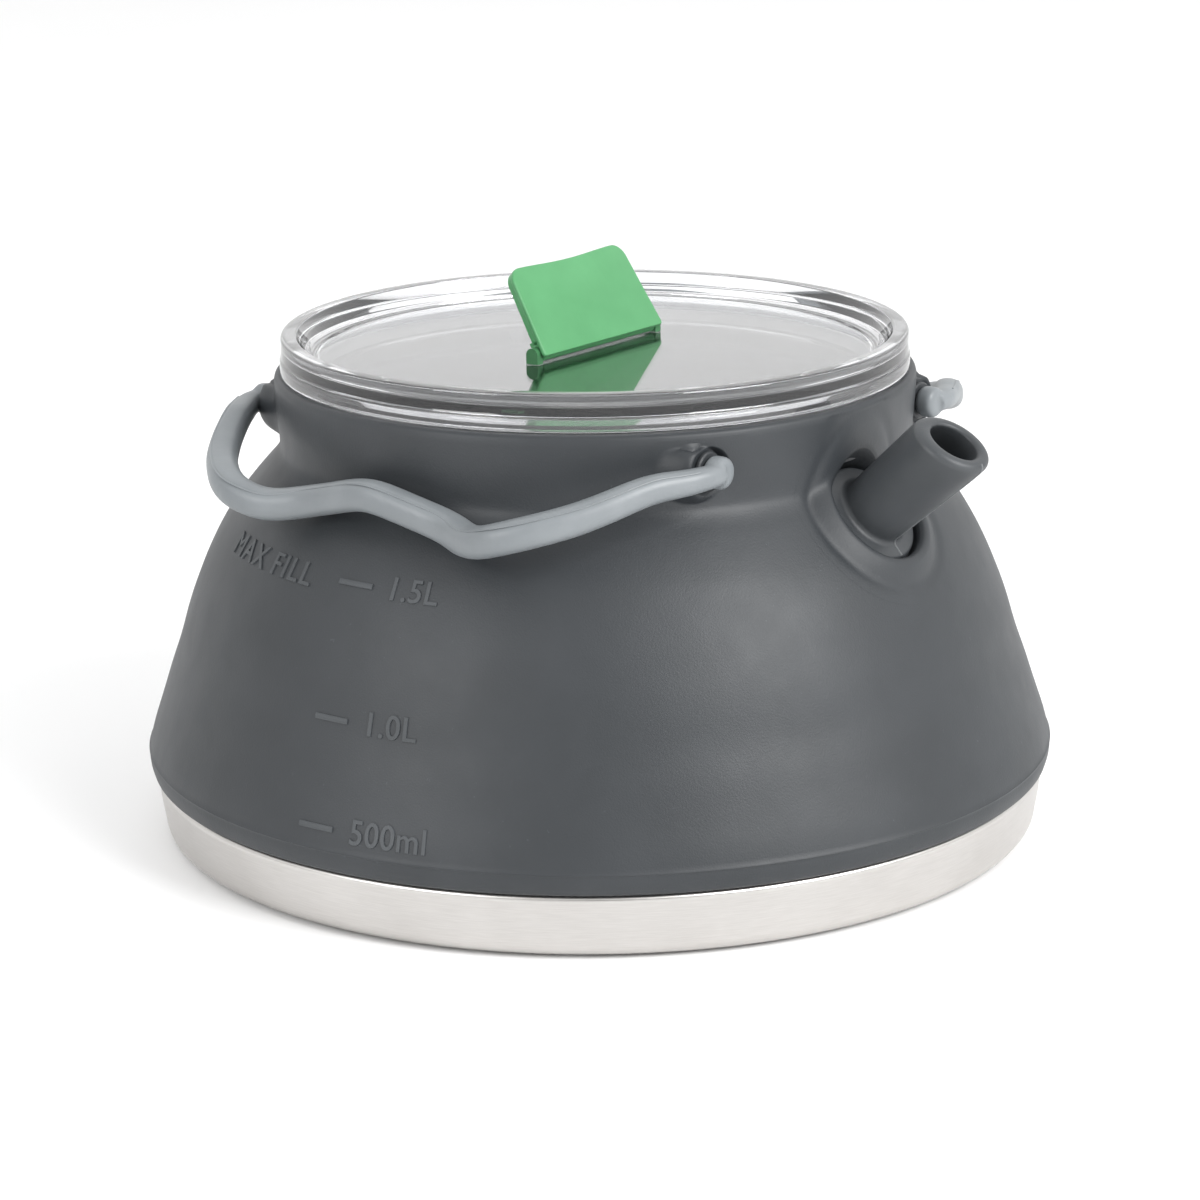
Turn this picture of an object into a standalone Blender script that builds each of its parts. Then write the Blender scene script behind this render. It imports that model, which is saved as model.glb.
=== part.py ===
"""Collapsible camping kettle: steel pan, folding silicone wall, clear lid and two side handles.

Frame: +Z up, +X towards the spout, origin under the middle of the pan. Metres.
Run with Blender 4.5, from its text editor or with: blender --background --python part.py
"""
import math

import bmesh
import bpy
from mathutils import Matrix, Vector

# Fits between pieces
CLEARANCE = 0.0003
OVERRUN = 0.002
TURN_STEPS = 48
SMALL_TURN_STEPS = 32

# Steel pan
PAN_CORNER = 0.0030
PAN_TAPER = 0.0014
PAN_BAND_HEIGHT = 0.0129
PAN_STEP = 0.0020
PAN_RIM_HEIGHT = 0.0208
PAN_LIP = 0.0009
PAN_SHEET = 0.0006

# Silicone wall: its outline between the pan and the mouth, as shares of height and radius.
# At its foot it stands proud of the pan by its lip.
WALL_RADIUS = 0.0940
WALL_TOP = 0.0950
WALL_THICKNESS = 0.0026
WALL_LIP = 0.0006
WALL_OUTLINE_SHARES = (
    (0.000, 0.9915), (0.040, 1.0000), (0.092, 0.9915), (0.161, 0.9720), (0.230, 0.9520),
    (0.321, 0.9250), (0.436, 0.8936), (0.493, 0.8746), (0.551, 0.8518), (0.608, 0.8266),
    (0.665, 0.7955), (0.712, 0.7640), (0.756, 0.7310), (0.785, 0.7080), (0.806, 0.6950),
    (0.822, 0.6905), (0.850, 0.6905), (0.9145, 0.6955), (0.975, 0.6985), (1.000, 0.6975))
FOLD_FOOT_HEIGHT = 0.0264
FOLD_HEAD_HEIGHT = 0.0490
FOLD_THICKNESS = 0.0020
FOLD_HINGE_SHARE = 0.62
SHOULDER_THICKNESS = 0.0030
MOUTH_ROUNDING = 0.0009

# Stiff ring that lines the mouth and carries the handle pins
NECK_WALL = 0.0021
MOUTH_BORE_DEPTH = 0.0122
RING_SHEET = 0.0015
RING_TOP_DROP = 0.0006
RING_FOOT_LIP = 0.0010
RING_FOOT_HEIGHT = 0.0016

# Handles and their hinges
HINGE_OFFSET = 0.0370
HINGE_DROP = 0.0075
HINGE_SEAT_RISE = 0.0006
HINGE_SEAT_RADIUS = 0.0046
HINGE_PAD_RADIUS = 0.0056
HINGE_PAD_RISE = 0.0003
PIN_RADIUS = 0.0020
PIN_PLAY = 0.0003
PIN_BITE = 0.0012
BUSH_WALL = 0.0008
BUSH_FLANGE = 0.0008
BUSH_FLANGE_RADIUS = 0.0038
HANDLE_WIDTH = 0.0064
HANDLE_DEPTH = 0.0060
HANDLE_ROUNDING = 0.0021
HANDLE_STAND_OFF = 0.0089
HANDLE_DROP = 0.0104
HANDLE_PATH_SHARES = (
    (0.000, 0.917, 0.471, 1.00), (0.093, 0.902, 0.548, 1.00), (0.198, 0.858, 0.790, 0.97),
    (0.306, 0.853, 0.950, 0.97), (0.403, 0.938, 1.000, 1.00), (0.511, 1.000, 0.830, 1.00),
    (0.624, 0.897, 0.720, 0.98), (0.732, 0.747, 0.510, 0.94), (0.815, 0.558, 0.298, 0.88),
    (0.884, 0.385, 0.120, 0.82), (0.955, 0.235, 0.060, 0.74), (0.991, 0.120, 0.015, 0.68),
    (1.000, 0.020, 0.000, 0.66))
HANDLE_EYE_RADIUS = 0.0031
HANDLE_EYE_LENGTH = 0.0036
HANDLE_EYE_ROUNDING = 0.0009

# Spout
SPOUT_SEAT_DEPTH = 0.0018
SPOUT_SEAT_DROP = 0.0214
SPOUT_RISE = math.radians(41.5)
SPOUT_LENGTH = 0.0252
SPOUT_ROOT_RADIUS = 0.0071
SPOUT_TIP_RADIUS = 0.0078
SPOUT_BORE_RADIUS = 0.0049
SPOUT_TIP_SLANT = math.radians(17.0)
SPOUT_TIP_ROUNDING = 0.0018
SPOUT_FLANGE_RADIUS = 0.01065
SPOUT_FLANGE = 0.0022
SPOUT_FLANGE_FILLET = 0.0009
SPOUT_SHANK = 0.0115
BOSS_LIP = 0.0008
BOSS_LIP_RADIUS = 0.0124
BOSS_RADIUS = 0.0152
BOSS_FLANK = 0.0036
BOSS_BACK_RADIUS = 0.0126
BOSS_FLOOR = 0.0032
BOSS_POCKET_REACH = 0.0090
WASHER_THICKNESS = 0.0010
WASHER_RADIUS = 0.0114
NUT_THICKNESS = 0.0030
NUT_RADIUS = 0.0114
NUT_SIDES = 6

# Clear lid
LID_INSET = 0.0012
LID_HEIGHT = 0.0075
LID_LEDGE_HEIGHT = 0.0025
LID_LEDGE = 0.0003
LID_RIM_WALL = 0.0030
LID_TRAY_DEPTH = 0.0041
LID_DISC = 0.0022
LID_EDGE = 0.0005
SKIRT_WALL = 0.0016
SKIRT_DEPTH = 0.0055
SKIRT_BEAD = 0.0004
GASKET_HEIGHT = 0.0026
GASKET_WIDTH = 0.0019
GASKET_DROP = 0.0016
GASKET_LIPS = 2
GASKET_GROOVE = 0.0006

# Folding tab on the lid
TAB_WIDTH = 0.0416
TAB_HEIGHT = 0.0168
TAB_THICKNESS = 0.0021
TAB_CORNER = 0.0028
TAB_EDGE = 0.0005
TAB_LEAN = math.radians(32.0)
TAB_FOOT_GAP = 0.0019
BARREL_RADIUS = 0.0015
BARREL_HEIGHT = 0.0017
TAB_PIN_RADIUS = 0.0007
LUG_THICKNESS = 0.0016
LUG_INSET = 0.0002


def clear_scene():
    """Remove every object, so that the script starts from an empty file."""
    for item in list(bpy.data.objects):
        bpy.data.objects.remove(item, do_unlink=True)


def new_collection(name):
    collection = bpy.data.collections.new(name)
    bpy.context.scene.collection.children.link(collection)
    return collection


def new_material(name, colour, roughness, metallic=0.0, alpha=1.0):
    material = bpy.data.materials.new(name)
    material.use_nodes = True
    shader = material.node_tree.nodes["Principled BSDF"]
    shader.inputs["Base Color"].default_value = (*colour, 1.0)
    shader.inputs["Roughness"].default_value = roughness
    shader.inputs["Metallic"].default_value = metallic
    shader.inputs["Alpha"].default_value = alpha
    material.diffuse_color = (*colour, alpha)
    return material


def link(mesh, name, collection, material=None):
    """Make an object of a mesh in a collection."""
    item = bpy.data.objects.new(name, mesh)
    collection.objects.link(item)
    if material:
        mesh.materials.append(material)
    return item


def body(name, place, parent=None):
    """An empty on a joint's axis, which carries one body's pieces."""
    empty = bpy.data.objects.new(name, None)
    empty.empty_display_size = CLEARANCE
    assembly.objects.link(empty)
    empty.location = Vector(place) - (Vector(parent["place"]) if parent else Vector())
    empty["place"] = tuple(place)
    empty.parent = parent
    return empty


def carry(item, empty):
    """Parent a piece to its body and leave it where it was modelled."""
    item.parent = empty
    item.matrix_parent_inverse = Matrix.Translation(-Vector(empty["place"]))
    return item


def arc(centre, radius, start, end, steps):
    """Points on a round stretch of an outline, angles in degrees from +X."""
    points = []
    for step in range(steps + 1):
        angle = math.radians(start + (end - start) * step / steps)
        points.append((centre[0] + radius * math.cos(angle), centre[1] + radius * math.sin(angle)))
    return points


def turned(name, outline, collection, material=None, closed=True, steps=TURN_STEPS):
    """A turned piece: the outline stands at +X and runs down its outer side, top to bottom."""
    shape = bmesh.new()
    corners = [shape.verts.new((radius, 0.0, height)) for radius, height in outline]
    for first, second in zip(corners, corners[1:]):
        shape.edges.new((first, second))
    if closed:
        shape.edges.new((corners[-1], corners[0]))
    mesh = bpy.data.meshes.new(name)
    shape.to_mesh(mesh)
    shape.free()
    item = link(mesh, name, collection, material)
    screw = item.modifiers.new("turn", "SCREW")
    screw.steps = steps
    screw.render_steps = steps
    screw.use_merge_vertices = True
    screw.merge_threshold = 0.00001
    screw.use_smooth_shade = True
    return item


def settled(item, name, collection, material=None):
    """A plain mesh object with the shape that the modifiers of another gave it."""
    bpy.context.view_layer.update()
    evaluated = item.evaluated_get(bpy.context.evaluated_depsgraph_get())
    mesh = bpy.data.meshes.new_from_object(evaluated)
    mesh.transform(item.matrix_world)
    shape = bmesh.new()
    shape.from_mesh(mesh)
    bmesh.ops.remove_doubles(shape, verts=shape.verts, dist=0.000001)
    bmesh.ops.recalc_face_normals(shape, faces=shape.faces)
    shape.to_mesh(mesh)
    shape.free()
    bpy.data.objects.remove(item, do_unlink=True)
    mesh.materials.clear()
    result = link(mesh, name, collection, material)
    mesh.shade_smooth()
    mesh.set_sharp_from_angle(angle=math.radians(35.0))
    return result


def cylinder(name, radius, start, end, collection, material=None, steps=SMALL_TURN_STEPS):
    """A round bar from one point to another."""
    start = Vector(start)
    end = Vector(end)
    shape = bmesh.new()
    bmesh.ops.create_cone(shape, cap_ends=True, segments=steps, radius1=radius, radius2=radius,
                          depth=(end - start).length)
    mesh = bpy.data.meshes.new(name)
    shape.to_mesh(mesh)
    shape.free()
    mesh.transform((end - start).to_track_quat("Z", "Y").to_matrix().to_4x4())
    item = link(mesh, name, collection, material)
    item.location = (start + end) / 2
    mesh.shade_smooth()
    mesh.set_sharp_from_angle(angle=math.radians(35.0))
    return item


def block(name, low, high, collection):
    """A box between two corners."""
    shape = bmesh.new()
    size = Vector(high) - Vector(low)
    middle = (Vector(high) + Vector(low)) / 2
    bmesh.ops.create_cube(shape, size=1.0,
                          matrix=Matrix.Translation(middle) @ Matrix.Diagonal((*size, 1.0)))
    mesh = bpy.data.meshes.new(name)
    shape.to_mesh(mesh)
    shape.free()
    return link(mesh, name, collection)


def combine(item, tool, operation):
    """Join or cut a piece with a hidden tool shape."""
    tool.hide_render = True
    tool.display_type = "WIRE"
    boolean = item.modifiers.new(tool.name, "BOOLEAN")
    boolean.operation = operation
    boolean.object = tool


def wall_radius(height):
    """Outer radius of the silicone wall at a height, on a smooth curve through its outline."""
    foot = PAN_BAND_HEIGHT
    share = min(max((height - foot) / (WALL_TOP - foot), 0.0), 1.0)
    points = WALL_OUTLINE_SHARES
    last = len(points) - 1
    index = max(i for i in range(last) if points[i][0] <= share)
    before = points[max(index - 1, 0)]
    start = points[index]
    end = points[index + 1]
    after = points[min(index + 2, last)]
    span = end[0] - start[0]
    part = (share - start[0]) / span
    slope_in = (end[1] - before[1]) / (end[0] - before[0]) * span
    slope_out = (after[1] - start[1]) / (after[0] - start[0]) * span
    rise = part * part * (3.0 - 2.0 * part)
    value = start[1] + (end[1] - start[1]) * rise
    value += slope_in * part * (1.0 - part) ** 2 - slope_out * part * part * (1.0 - part)
    return WALL_RADIUS * value


def pan_radius():
    """Radius of the pan's upright band, just inside the foot of the wall."""
    return wall_radius(PAN_BAND_HEIGHT) - WALL_LIP


def bore_height():
    """Height of the ledge that the mouth ring stands on."""
    return WALL_TOP - MOUTH_BORE_DEPTH


def bore_radius():
    """Radius of the bore that the mouth ring sits in, cut into the neck at its narrowest."""
    return wall_radius(bore_height()) - NECK_WALL


def hinge_height():
    """Height of the handle hinges, below the mouth's top edge."""
    return WALL_TOP - HINGE_DROP


def hinge_seat():
    """Distance along X from the middle to the flat seat of each hinge, just proud of the neck."""
    return math.sqrt(wall_radius(hinge_height()) ** 2 - HINGE_OFFSET ** 2) + HINGE_SEAT_RISE


def eye_face():
    """Distance along X to the inner face of each handle eye, clear of the bush's flange."""
    return hinge_seat() + 2 * CLEARANCE + BUSH_FLANGE


def handle_reach():
    """How far the outermost stretch of a handle stands out from its hinge axis."""
    return wall_radius(hinge_height() - HANDLE_DROP) + HANDLE_STAND_OFF - HINGE_OFFSET


def handle_half_span():
    """Half the length of a handle's centre line along its hinge axis."""
    return eye_face() + HANDLE_WIDTH / 2 * HANDLE_PATH_SHARES[-1][3] + CLEARANCE


def lid_radius():
    return wall_radius(WALL_TOP) - LID_INSET


def lid_underside():
    return WALL_TOP + CLEARANCE


def skirt_radius():
    """Radius of the lid's skirt, which leaves room for the seal inside the mouth ring."""
    return bore_radius() - RING_SHEET - 3 * CLEARANCE - GASKET_WIDTH


def heights(start, end, steps):
    """Evenly spaced heights, both ends included."""
    return [start + (end - start) * step / steps for step in range(steps + 1)]


def wall_section(low, high, steps, inner):
    """Closed outline of a length of the wall; inner gives its inside radius at a height."""
    down = heights(high, low, steps)
    outline = [(wall_radius(height), height) for height in down]
    return outline + [(inner(height), height) for height in reversed(down)]


def make_pan():
    """The drawn steel pan: flat floor, upright band, and a stepped-in rim inside the silicone."""
    band = pan_radius()
    neck = band - PAN_STEP
    foot = band - PAN_TAPER
    corner = arc((foot - PAN_CORNER, PAN_CORNER), PAN_CORNER, 0.0, -90.0, 4)
    outside = [(neck + PAN_LIP, PAN_RIM_HEIGHT), (neck + PAN_LIP, PAN_RIM_HEIGHT - PAN_LIP),
               (neck, PAN_RIM_HEIGHT - 2 * PAN_LIP), (neck, PAN_BAND_HEIGHT + PAN_SHEET),
               (band, PAN_BAND_HEIGHT - PAN_SHEET)]
    outside += corner + [(0.0, 0.0)]
    inside_corner = arc((foot - PAN_CORNER, PAN_CORNER), PAN_CORNER - PAN_SHEET,
                        -90.0, 0.0, 4)
    inside = [(0.0, PAN_SHEET)] + inside_corner
    inside += [(band - PAN_SHEET, PAN_BAND_HEIGHT - 2 * PAN_SHEET),
               (neck - PAN_SHEET, PAN_BAND_HEIGHT),
               (neck - PAN_SHEET, PAN_RIM_HEIGHT - PAN_LIP),
               (neck, PAN_RIM_HEIGHT)]
    return turned("base_pan", inside + outside, assembly, steel, closed=False)


def make_lower_wall():
    """The skirt of the silicone wall, moulded round the rim of the pan."""
    foot = PAN_BAND_HEIGHT + CLEARANCE
    head = FOLD_FOOT_HEIGHT
    neck = pan_radius() - PAN_STEP + CLEARANCE
    outside = [(wall_radius(height), height) for height in heights(head, foot, 6)]
    roof = PAN_RIM_HEIGHT + CLEARANCE
    lip_floor = PAN_RIM_HEIGHT - 2 * PAN_LIP - CLEARANCE
    inside = [(pan_radius(), foot), (neck, foot + PAN_SHEET), (neck, lip_floor),
              (neck + PAN_LIP, lip_floor + PAN_LIP), (neck + PAN_LIP, roof),
              (neck - 2 * PAN_SHEET, roof),
              (wall_radius(head) - WALL_THICKNESS, head)]
    return turned("lower_wall", outside + inside, assembly, silicone)


def make_fold_wall():
    """The part of the wall that folds, thinner at its foot, middle and head."""
    low = FOLD_FOOT_HEIGHT + CLEARANCE
    high = FOLD_HEAD_HEIGHT

    def inner(height):
        share = (height - low) / (high - low)
        waist = math.cos(share * 4.0 * math.pi) * 0.5 + 0.5
        thickness = FOLD_THICKNESS * (1.0 - (1.0 - FOLD_HINGE_SHARE) * waist)
        return wall_radius(height) - thickness

    return turned("fold_wall", wall_section(low, high, 8, inner), assembly, silicone)


def spout_seat_height():
    """Height of the middle of the spout's flange, below the mouth's top edge."""
    return WALL_TOP - SPOUT_SEAT_DROP


def spout_frame():
    """Place of the spout: its own +Z along the tube, its own +X outwards and down."""
    along = Vector((math.cos(SPOUT_RISE), 0.0, math.sin(SPOUT_RISE)))
    outward = Vector((math.sin(SPOUT_RISE), 0.0, -math.cos(SPOUT_RISE)))
    across = along.cross(outward)
    place = Matrix((outward, across, along)).transposed().to_4x4()
    seat = wall_radius(spout_seat_height()) - SPOUT_SEAT_DEPTH
    place.translation = (seat, 0.0, spout_seat_height())
    return place


def boss_back():
    """Depth of the inside face of the spout's boss, along the spout."""
    return -(SPOUT_FLANGE + CLEARANCE + BOSS_FLOOR)


def make_upper_wall():
    """Shoulder and neck in one, with the spout's boss and four hinge pads."""
    low = FOLD_HEAD_HEIGHT + CLEARANCE
    high = WALL_TOP

    def inner(height):
        return wall_radius(height) - SHOULDER_THICKNESS

    body_heights = heights(low, bore_height(), 16)
    top = wall_radius(high) - MOUTH_ROUNDING
    outside = arc((top, high - MOUTH_ROUNDING), MOUTH_ROUNDING, 90.0, 0.0, 3)
    outside += [(wall_radius(height), height)
                for height in heights(high - 2 * MOUTH_ROUNDING, bore_height(), 4)[:-1]]
    outside += [(wall_radius(height), height) for height in reversed(body_heights)]
    inside = [(inner(height), height) for height in body_heights[::4]]
    inside += [(inner(bore_height()), high)]
    wall = turned("upper_wall", outside + inside, assembly, silicone)

    for side in (-1, 1):
        for end in (-1, 1):
            across = side * HINGE_OFFSET
            pad = cylinder("pad_%+d%+d" % (end, side), HINGE_PAD_RADIUS,
                           (end * (hinge_seat() - 2 * HINGE_PAD_RADIUS), across, hinge_height()),
                           (end * (hinge_seat() + HINGE_PAD_RISE), across, hinge_height()),
                           tools, steps=24)
            combine(wall, pad, "UNION")
            seat = cylinder("seat_%+d%+d" % (end, side), HINGE_SEAT_RADIUS,
                            (end * hinge_seat(), across, hinge_height()),
                            (end * WALL_RADIUS, across, hinge_height()),
                            tools, steps=24)
            combine(wall, seat, "DIFFERENCE")
    hole = PIN_RADIUS + PIN_PLAY + BUSH_WALL + CLEARANCE
    for side in (-1, 1):
        drill = cylinder("pin_holes_%+d" % side, hole,
                         (-WALL_RADIUS, side * HINGE_OFFSET, hinge_height()),
                         (WALL_RADIUS, side * HINGE_OFFSET, hinge_height()), tools, steps=20)
        combine(wall, drill, "DIFFERENCE")
    lip = BOSS_LIP
    boss_outline = [(0.0, lip), (BOSS_LIP_RADIUS - lip, lip)]
    boss_outline += arc((BOSS_LIP_RADIUS - lip, 0.0), lip, 60.0, 20.0, 2)
    boss_outline += [(BOSS_LIP_RADIUS + lip, -lip), (BOSS_RADIUS, -lip - BOSS_FLANK / 2),
                     (BOSS_RADIUS, -BOSS_FLANK), (BOSS_BACK_RADIUS, -BOSS_FLANK - lip / 2),
                     (BOSS_BACK_RADIUS, boss_back()), (0.0, boss_back())]
    boss = turned("boss", boss_outline, tools, closed=False, steps=SMALL_TURN_STEPS + 8)
    boss.matrix_world = spout_frame()
    combine(wall, boss, "UNION")
    bore = cylinder("mouth_bore", bore_radius(), (0.0, 0.0, bore_height()),
                    (0.0, 0.0, WALL_TOP + OVERRUN), tools, steps=TURN_STEPS)
    combine(wall, bore, "DIFFERENCE")
    recess_outline = [(0.0, BOSS_POCKET_REACH), (SPOUT_FLANGE_RADIUS + CLEARANCE, BOSS_POCKET_REACH),
                      (SPOUT_FLANGE_RADIUS + CLEARANCE, -SPOUT_FLANGE - CLEARANCE),
                      (SPOUT_ROOT_RADIUS + CLEARANCE, -SPOUT_FLANGE - CLEARANCE),
                      (SPOUT_ROOT_RADIUS + CLEARANCE, boss_back() - OVERRUN),
                      (0.0, boss_back() - OVERRUN)]
    recess = turned("recess", recess_outline, tools, closed=False, steps=SMALL_TURN_STEPS)
    recess.matrix_world = spout_frame()
    combine(wall, recess, "DIFFERENCE")
    return wall


def make_mouth_ring():
    """The stiff ring inside the mouth, drilled for the four handle pins."""
    outer = bore_radius() - CLEARANCE
    inner = outer - RING_SHEET
    low = bore_height() + CLEARANCE
    high = WALL_TOP - RING_TOP_DROP
    edge = RING_SHEET / 3
    outline = [(inner, high), (outer - edge, high), (outer, high - edge), (outer, low),
               (inner - RING_FOOT_LIP, low), (inner - RING_FOOT_LIP, low + RING_FOOT_HEIGHT),
               (inner, low + RING_FOOT_HEIGHT + RING_FOOT_LIP)]
    ring = turned("mouth_ring", outline, assembly, ring_plastic)
    for side in (-1, 1):
        drill = cylinder("ring_holes_%+d" % side, PIN_RADIUS + PIN_PLAY,
                         (-WALL_RADIUS, side * HINGE_OFFSET, hinge_height()),
                         (WALL_RADIUS, side * HINGE_OFFSET, hinge_height()), tools, steps=20)
        combine(ring, drill, "DIFFERENCE")
    return ring


def make_bush(name, end, side):
    """A flanged bush in one hinge pad; it starts clear of the ring inside."""
    bore = PIN_RADIUS + PIN_PLAY
    sleeve = bore + BUSH_WALL
    near_edge = HINGE_OFFSET - sleeve
    inside_end = math.sqrt(bore_radius() ** 2 - near_edge ** 2) + CLEARANCE
    length = hinge_seat() - inside_end
    flange = CLEARANCE + BUSH_FLANGE
    outline = [(bore, flange), (BUSH_FLANGE_RADIUS - BUSH_FLANGE / 3, flange),
               (BUSH_FLANGE_RADIUS, flange - BUSH_FLANGE / 3), (BUSH_FLANGE_RADIUS, CLEARANCE),
               (sleeve, CLEARANCE), (sleeve, -length), (bore, -length)]
    bush = turned(name, outline, assembly, ring_plastic, steps=20)
    bush.location = (end * hinge_seat(), side * HINGE_OFFSET, hinge_height())
    bush.rotation_euler = (0.0, end * math.pi / 2, 0.0)
    return bush


def handle_section():
    """Rounded oblong that is swept along the handle."""
    curve = bpy.data.curves.new("handle_section", "CURVE")
    curve.dimensions = "2D"
    spline = curve.splines.new("POLY")
    points = []
    for corner, start in (((1, 1), 0.0), ((-1, 1), 90.0), ((-1, -1), 180.0), ((1, -1), 270.0)):
        centre = (corner[0] * (HANDLE_WIDTH / 2 - HANDLE_ROUNDING),
                  corner[1] * (HANDLE_DEPTH / 2 - HANDLE_ROUNDING))
        points += arc(centre, HANDLE_ROUNDING, start, start + 90.0, 2)
    spline.points.add(len(points) - 1)
    for point, place in zip(spline.points, points):
        point.co = (*place, 0.0, 1.0)
    spline.use_cyclic_u = True
    section = link(curve, "handle_section", tools)
    section.hide_render = True
    return section


def handle_path():
    """Half of the bar's centre line, middle to end: place from the hinge axis, and fullness."""
    half_span = handle_half_span()
    outer = handle_reach()
    return [Vector((span * half_span, -reach * outer, -drop * HANDLE_DROP, fullness))
            for span, reach, drop, fullness in HANDLE_PATH_SHARES]


def smooth_path(points, steps):
    """Closer points on a smooth curve through the given ones."""
    result = []
    for index in range(len(points) - 1):
        before = points[max(index - 1, 0)]
        start = points[index]
        end = points[index + 1]
        after = points[min(index + 2, len(points) - 1)]
        for step in range(steps):
            part = step / steps
            square = part * part
            cube = square * part
            result.append(0.5 * (2.0 * start + (end - before) * part
                                 + (2.0 * before - 5.0 * start + 4.0 * end - after) * square
                                 + (3.0 * start - before - 3.0 * end + after) * cube))
    result.append(points[-1])
    return result


def make_handle(name, side):
    """One side handle: a waved bar that ends in two hooks, with a pin on each."""
    half = handle_path()
    mirrored = [Vector((-point.x, point.y, point.z, point.w)) for point in reversed(half[1:])]
    route = smooth_path(mirrored + half, 2)
    curve = bpy.data.curves.new(name, "CURVE")
    curve.dimensions = "3D"
    curve.twist_mode = "Z_UP"
    curve.bevel_mode = "OBJECT"
    curve.bevel_object = handle_section()
    curve.use_fill_caps = True
    spline = curve.splines.new("POLY")
    spline.points.add(len(route) - 1)
    for point, place in zip(spline.points, route):
        point.co = (place.x, -side * place.y, place.z, 1.0)
        point.radius = place.w
    bar = settled(link(curve, "bar", tools), name, assembly, handle_plastic)
    pin_end = math.sqrt((bore_radius() - RING_SHEET) ** 2 - HINGE_OFFSET ** 2)
    pin_end += RING_SHEET - PIN_BITE
    eye = eye_face()
    edge = HANDLE_EYE_ROUNDING
    outline = [(0.0, HANDLE_EYE_LENGTH)]
    outline += arc((HANDLE_EYE_RADIUS - edge, HANDLE_EYE_LENGTH - edge), edge, 90.0, 0.0, 2)
    outline += [(HANDLE_EYE_RADIUS, 0.0), (PIN_RADIUS, 0.0), (PIN_RADIUS, pin_end - eye),
                (0.0, pin_end - eye)]
    for end in (-1, 1):
        pin = turned("pin_%s_%+d" % (name, end), outline, tools, closed=False, steps=20)
        pin.location = (end * eye, side * HINGE_OFFSET, hinge_height())
        pin.rotation_euler = (0.0, end * math.pi / 2, 0.0)
        combine(bar, pin, "UNION")
    bar.location = (0.0, side * HINGE_OFFSET, hinge_height())
    return bar


def make_spout():
    """The pouring tube: flange, tube that widens to a slanted round lip, and inner shank."""
    lip = SPOUT_TIP_ROUNDING
    tip = SPOUT_LENGTH
    fillet = SPOUT_FLANGE_FILLET
    root = SPOUT_ROOT_RADIUS
    outline = arc((SPOUT_BORE_RADIUS + lip / 2, tip - lip / 2), lip / 2, 180.0, 90.0, 2)
    outline += arc((SPOUT_TIP_RADIUS - lip, tip - lip), lip, 90.0, 0.0, 4)
    outline += [(SPOUT_TIP_RADIUS, tip - 3 * lip), (root, 4 * fillet)]
    outline += arc((root + fillet, fillet), fillet, 180.0, 270.0, 3)
    outline += [(SPOUT_FLANGE_RADIUS - fillet / 2, 0.0), (SPOUT_FLANGE_RADIUS, -fillet / 2),
                (SPOUT_FLANGE_RADIUS, -SPOUT_FLANGE), (root, -SPOUT_FLANGE),
                (root, -SPOUT_SHANK), (SPOUT_BORE_RADIUS, -SPOUT_SHANK)]
    spout = settled(turned("spout_turning", outline, tools, steps=SMALL_TURN_STEPS), "spout",
                    assembly, spout_plastic)
    slant = math.tan(SPOUT_TIP_SLANT)
    bend_start = 4 * fillet
    for vertex in spout.data.vertices:
        share = (vertex.co.z - bend_start) / (tip - bend_start)
        if share > 0.0:
            vertex.co.z += slant * vertex.co.x * min(share, 1.0)
    spout.data.update()
    spout.matrix_world = spout_frame()
    return spout


def make_spout_washer():
    """Soft washer between the nut and the boss."""
    top = boss_back() - CLEARANCE
    low = top - WASHER_THICKNESS
    bore = SPOUT_ROOT_RADIUS + CLEARANCE
    outline = [(bore, top), (WASHER_RADIUS, top), (WASHER_RADIUS, low), (bore, low)]
    washer = turned("spout_washer", outline, assembly, silicone, steps=SMALL_TURN_STEPS)
    washer.matrix_world = spout_frame()
    return washer


def make_spout_nut():
    """Nut that holds the spout from inside."""
    top = boss_back() - 2 * CLEARANCE - WASHER_THICKNESS
    low = top - NUT_THICKNESS
    nut = cylinder("spout_nut", NUT_RADIUS, (0.0, 0.0, low), (0.0, 0.0, top), assembly,
                   ring_plastic, steps=NUT_SIDES)
    bore = cylinder("nut_bore", SPOUT_ROOT_RADIUS + CLEARANCE, (0.0, 0.0, low - OVERRUN),
                    (0.0, 0.0, top + OVERRUN), tools)
    nut.matrix_world = spout_frame() @ Matrix.Translation(nut.location)
    bore.matrix_world = spout_frame() @ Matrix.Translation(bore.location)
    combine(nut, bore, "DIFFERENCE")
    return nut


def tray_height():
    """Height of the lid's sunk top face."""
    return lid_underside() + LID_HEIGHT - LID_TRAY_DEPTH


def barrel_height():
    """Height of the tab's hinge axis."""
    return tray_height() + BARREL_HEIGHT


def lug_middle():
    """Distance of each hinge lug from the lid's middle."""
    return TAB_WIDTH / 2 - LUG_INSET - LUG_THICKNESS / 2


def make_lug(name, middle):
    """One hinge lug: a short upright post with a round head."""
    foot = tray_height() - LID_DISC / 2
    outline = [(-BARREL_RADIUS, foot), (BARREL_RADIUS, foot)]
    outline += arc((0.0, barrel_height()), BARREL_RADIUS, 0.0, 180.0, 10)
    shape = bmesh.new()
    rim = [shape.verts.new((across, middle - LUG_THICKNESS / 2, rise)) for across, rise in outline]
    face = shape.faces.new(rim)
    grown = bmesh.ops.extrude_face_region(shape, geom=[face])
    moved = [part for part in grown["geom"] if isinstance(part, bmesh.types.BMVert)]
    bmesh.ops.translate(shape, verts=moved, vec=(0.0, LUG_THICKNESS, 0.0))
    bmesh.ops.recalc_face_normals(shape, faces=shape.faces)
    mesh = bpy.data.meshes.new(name)
    shape.to_mesh(mesh)
    shape.free()
    return link(mesh, name, tools)


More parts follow.
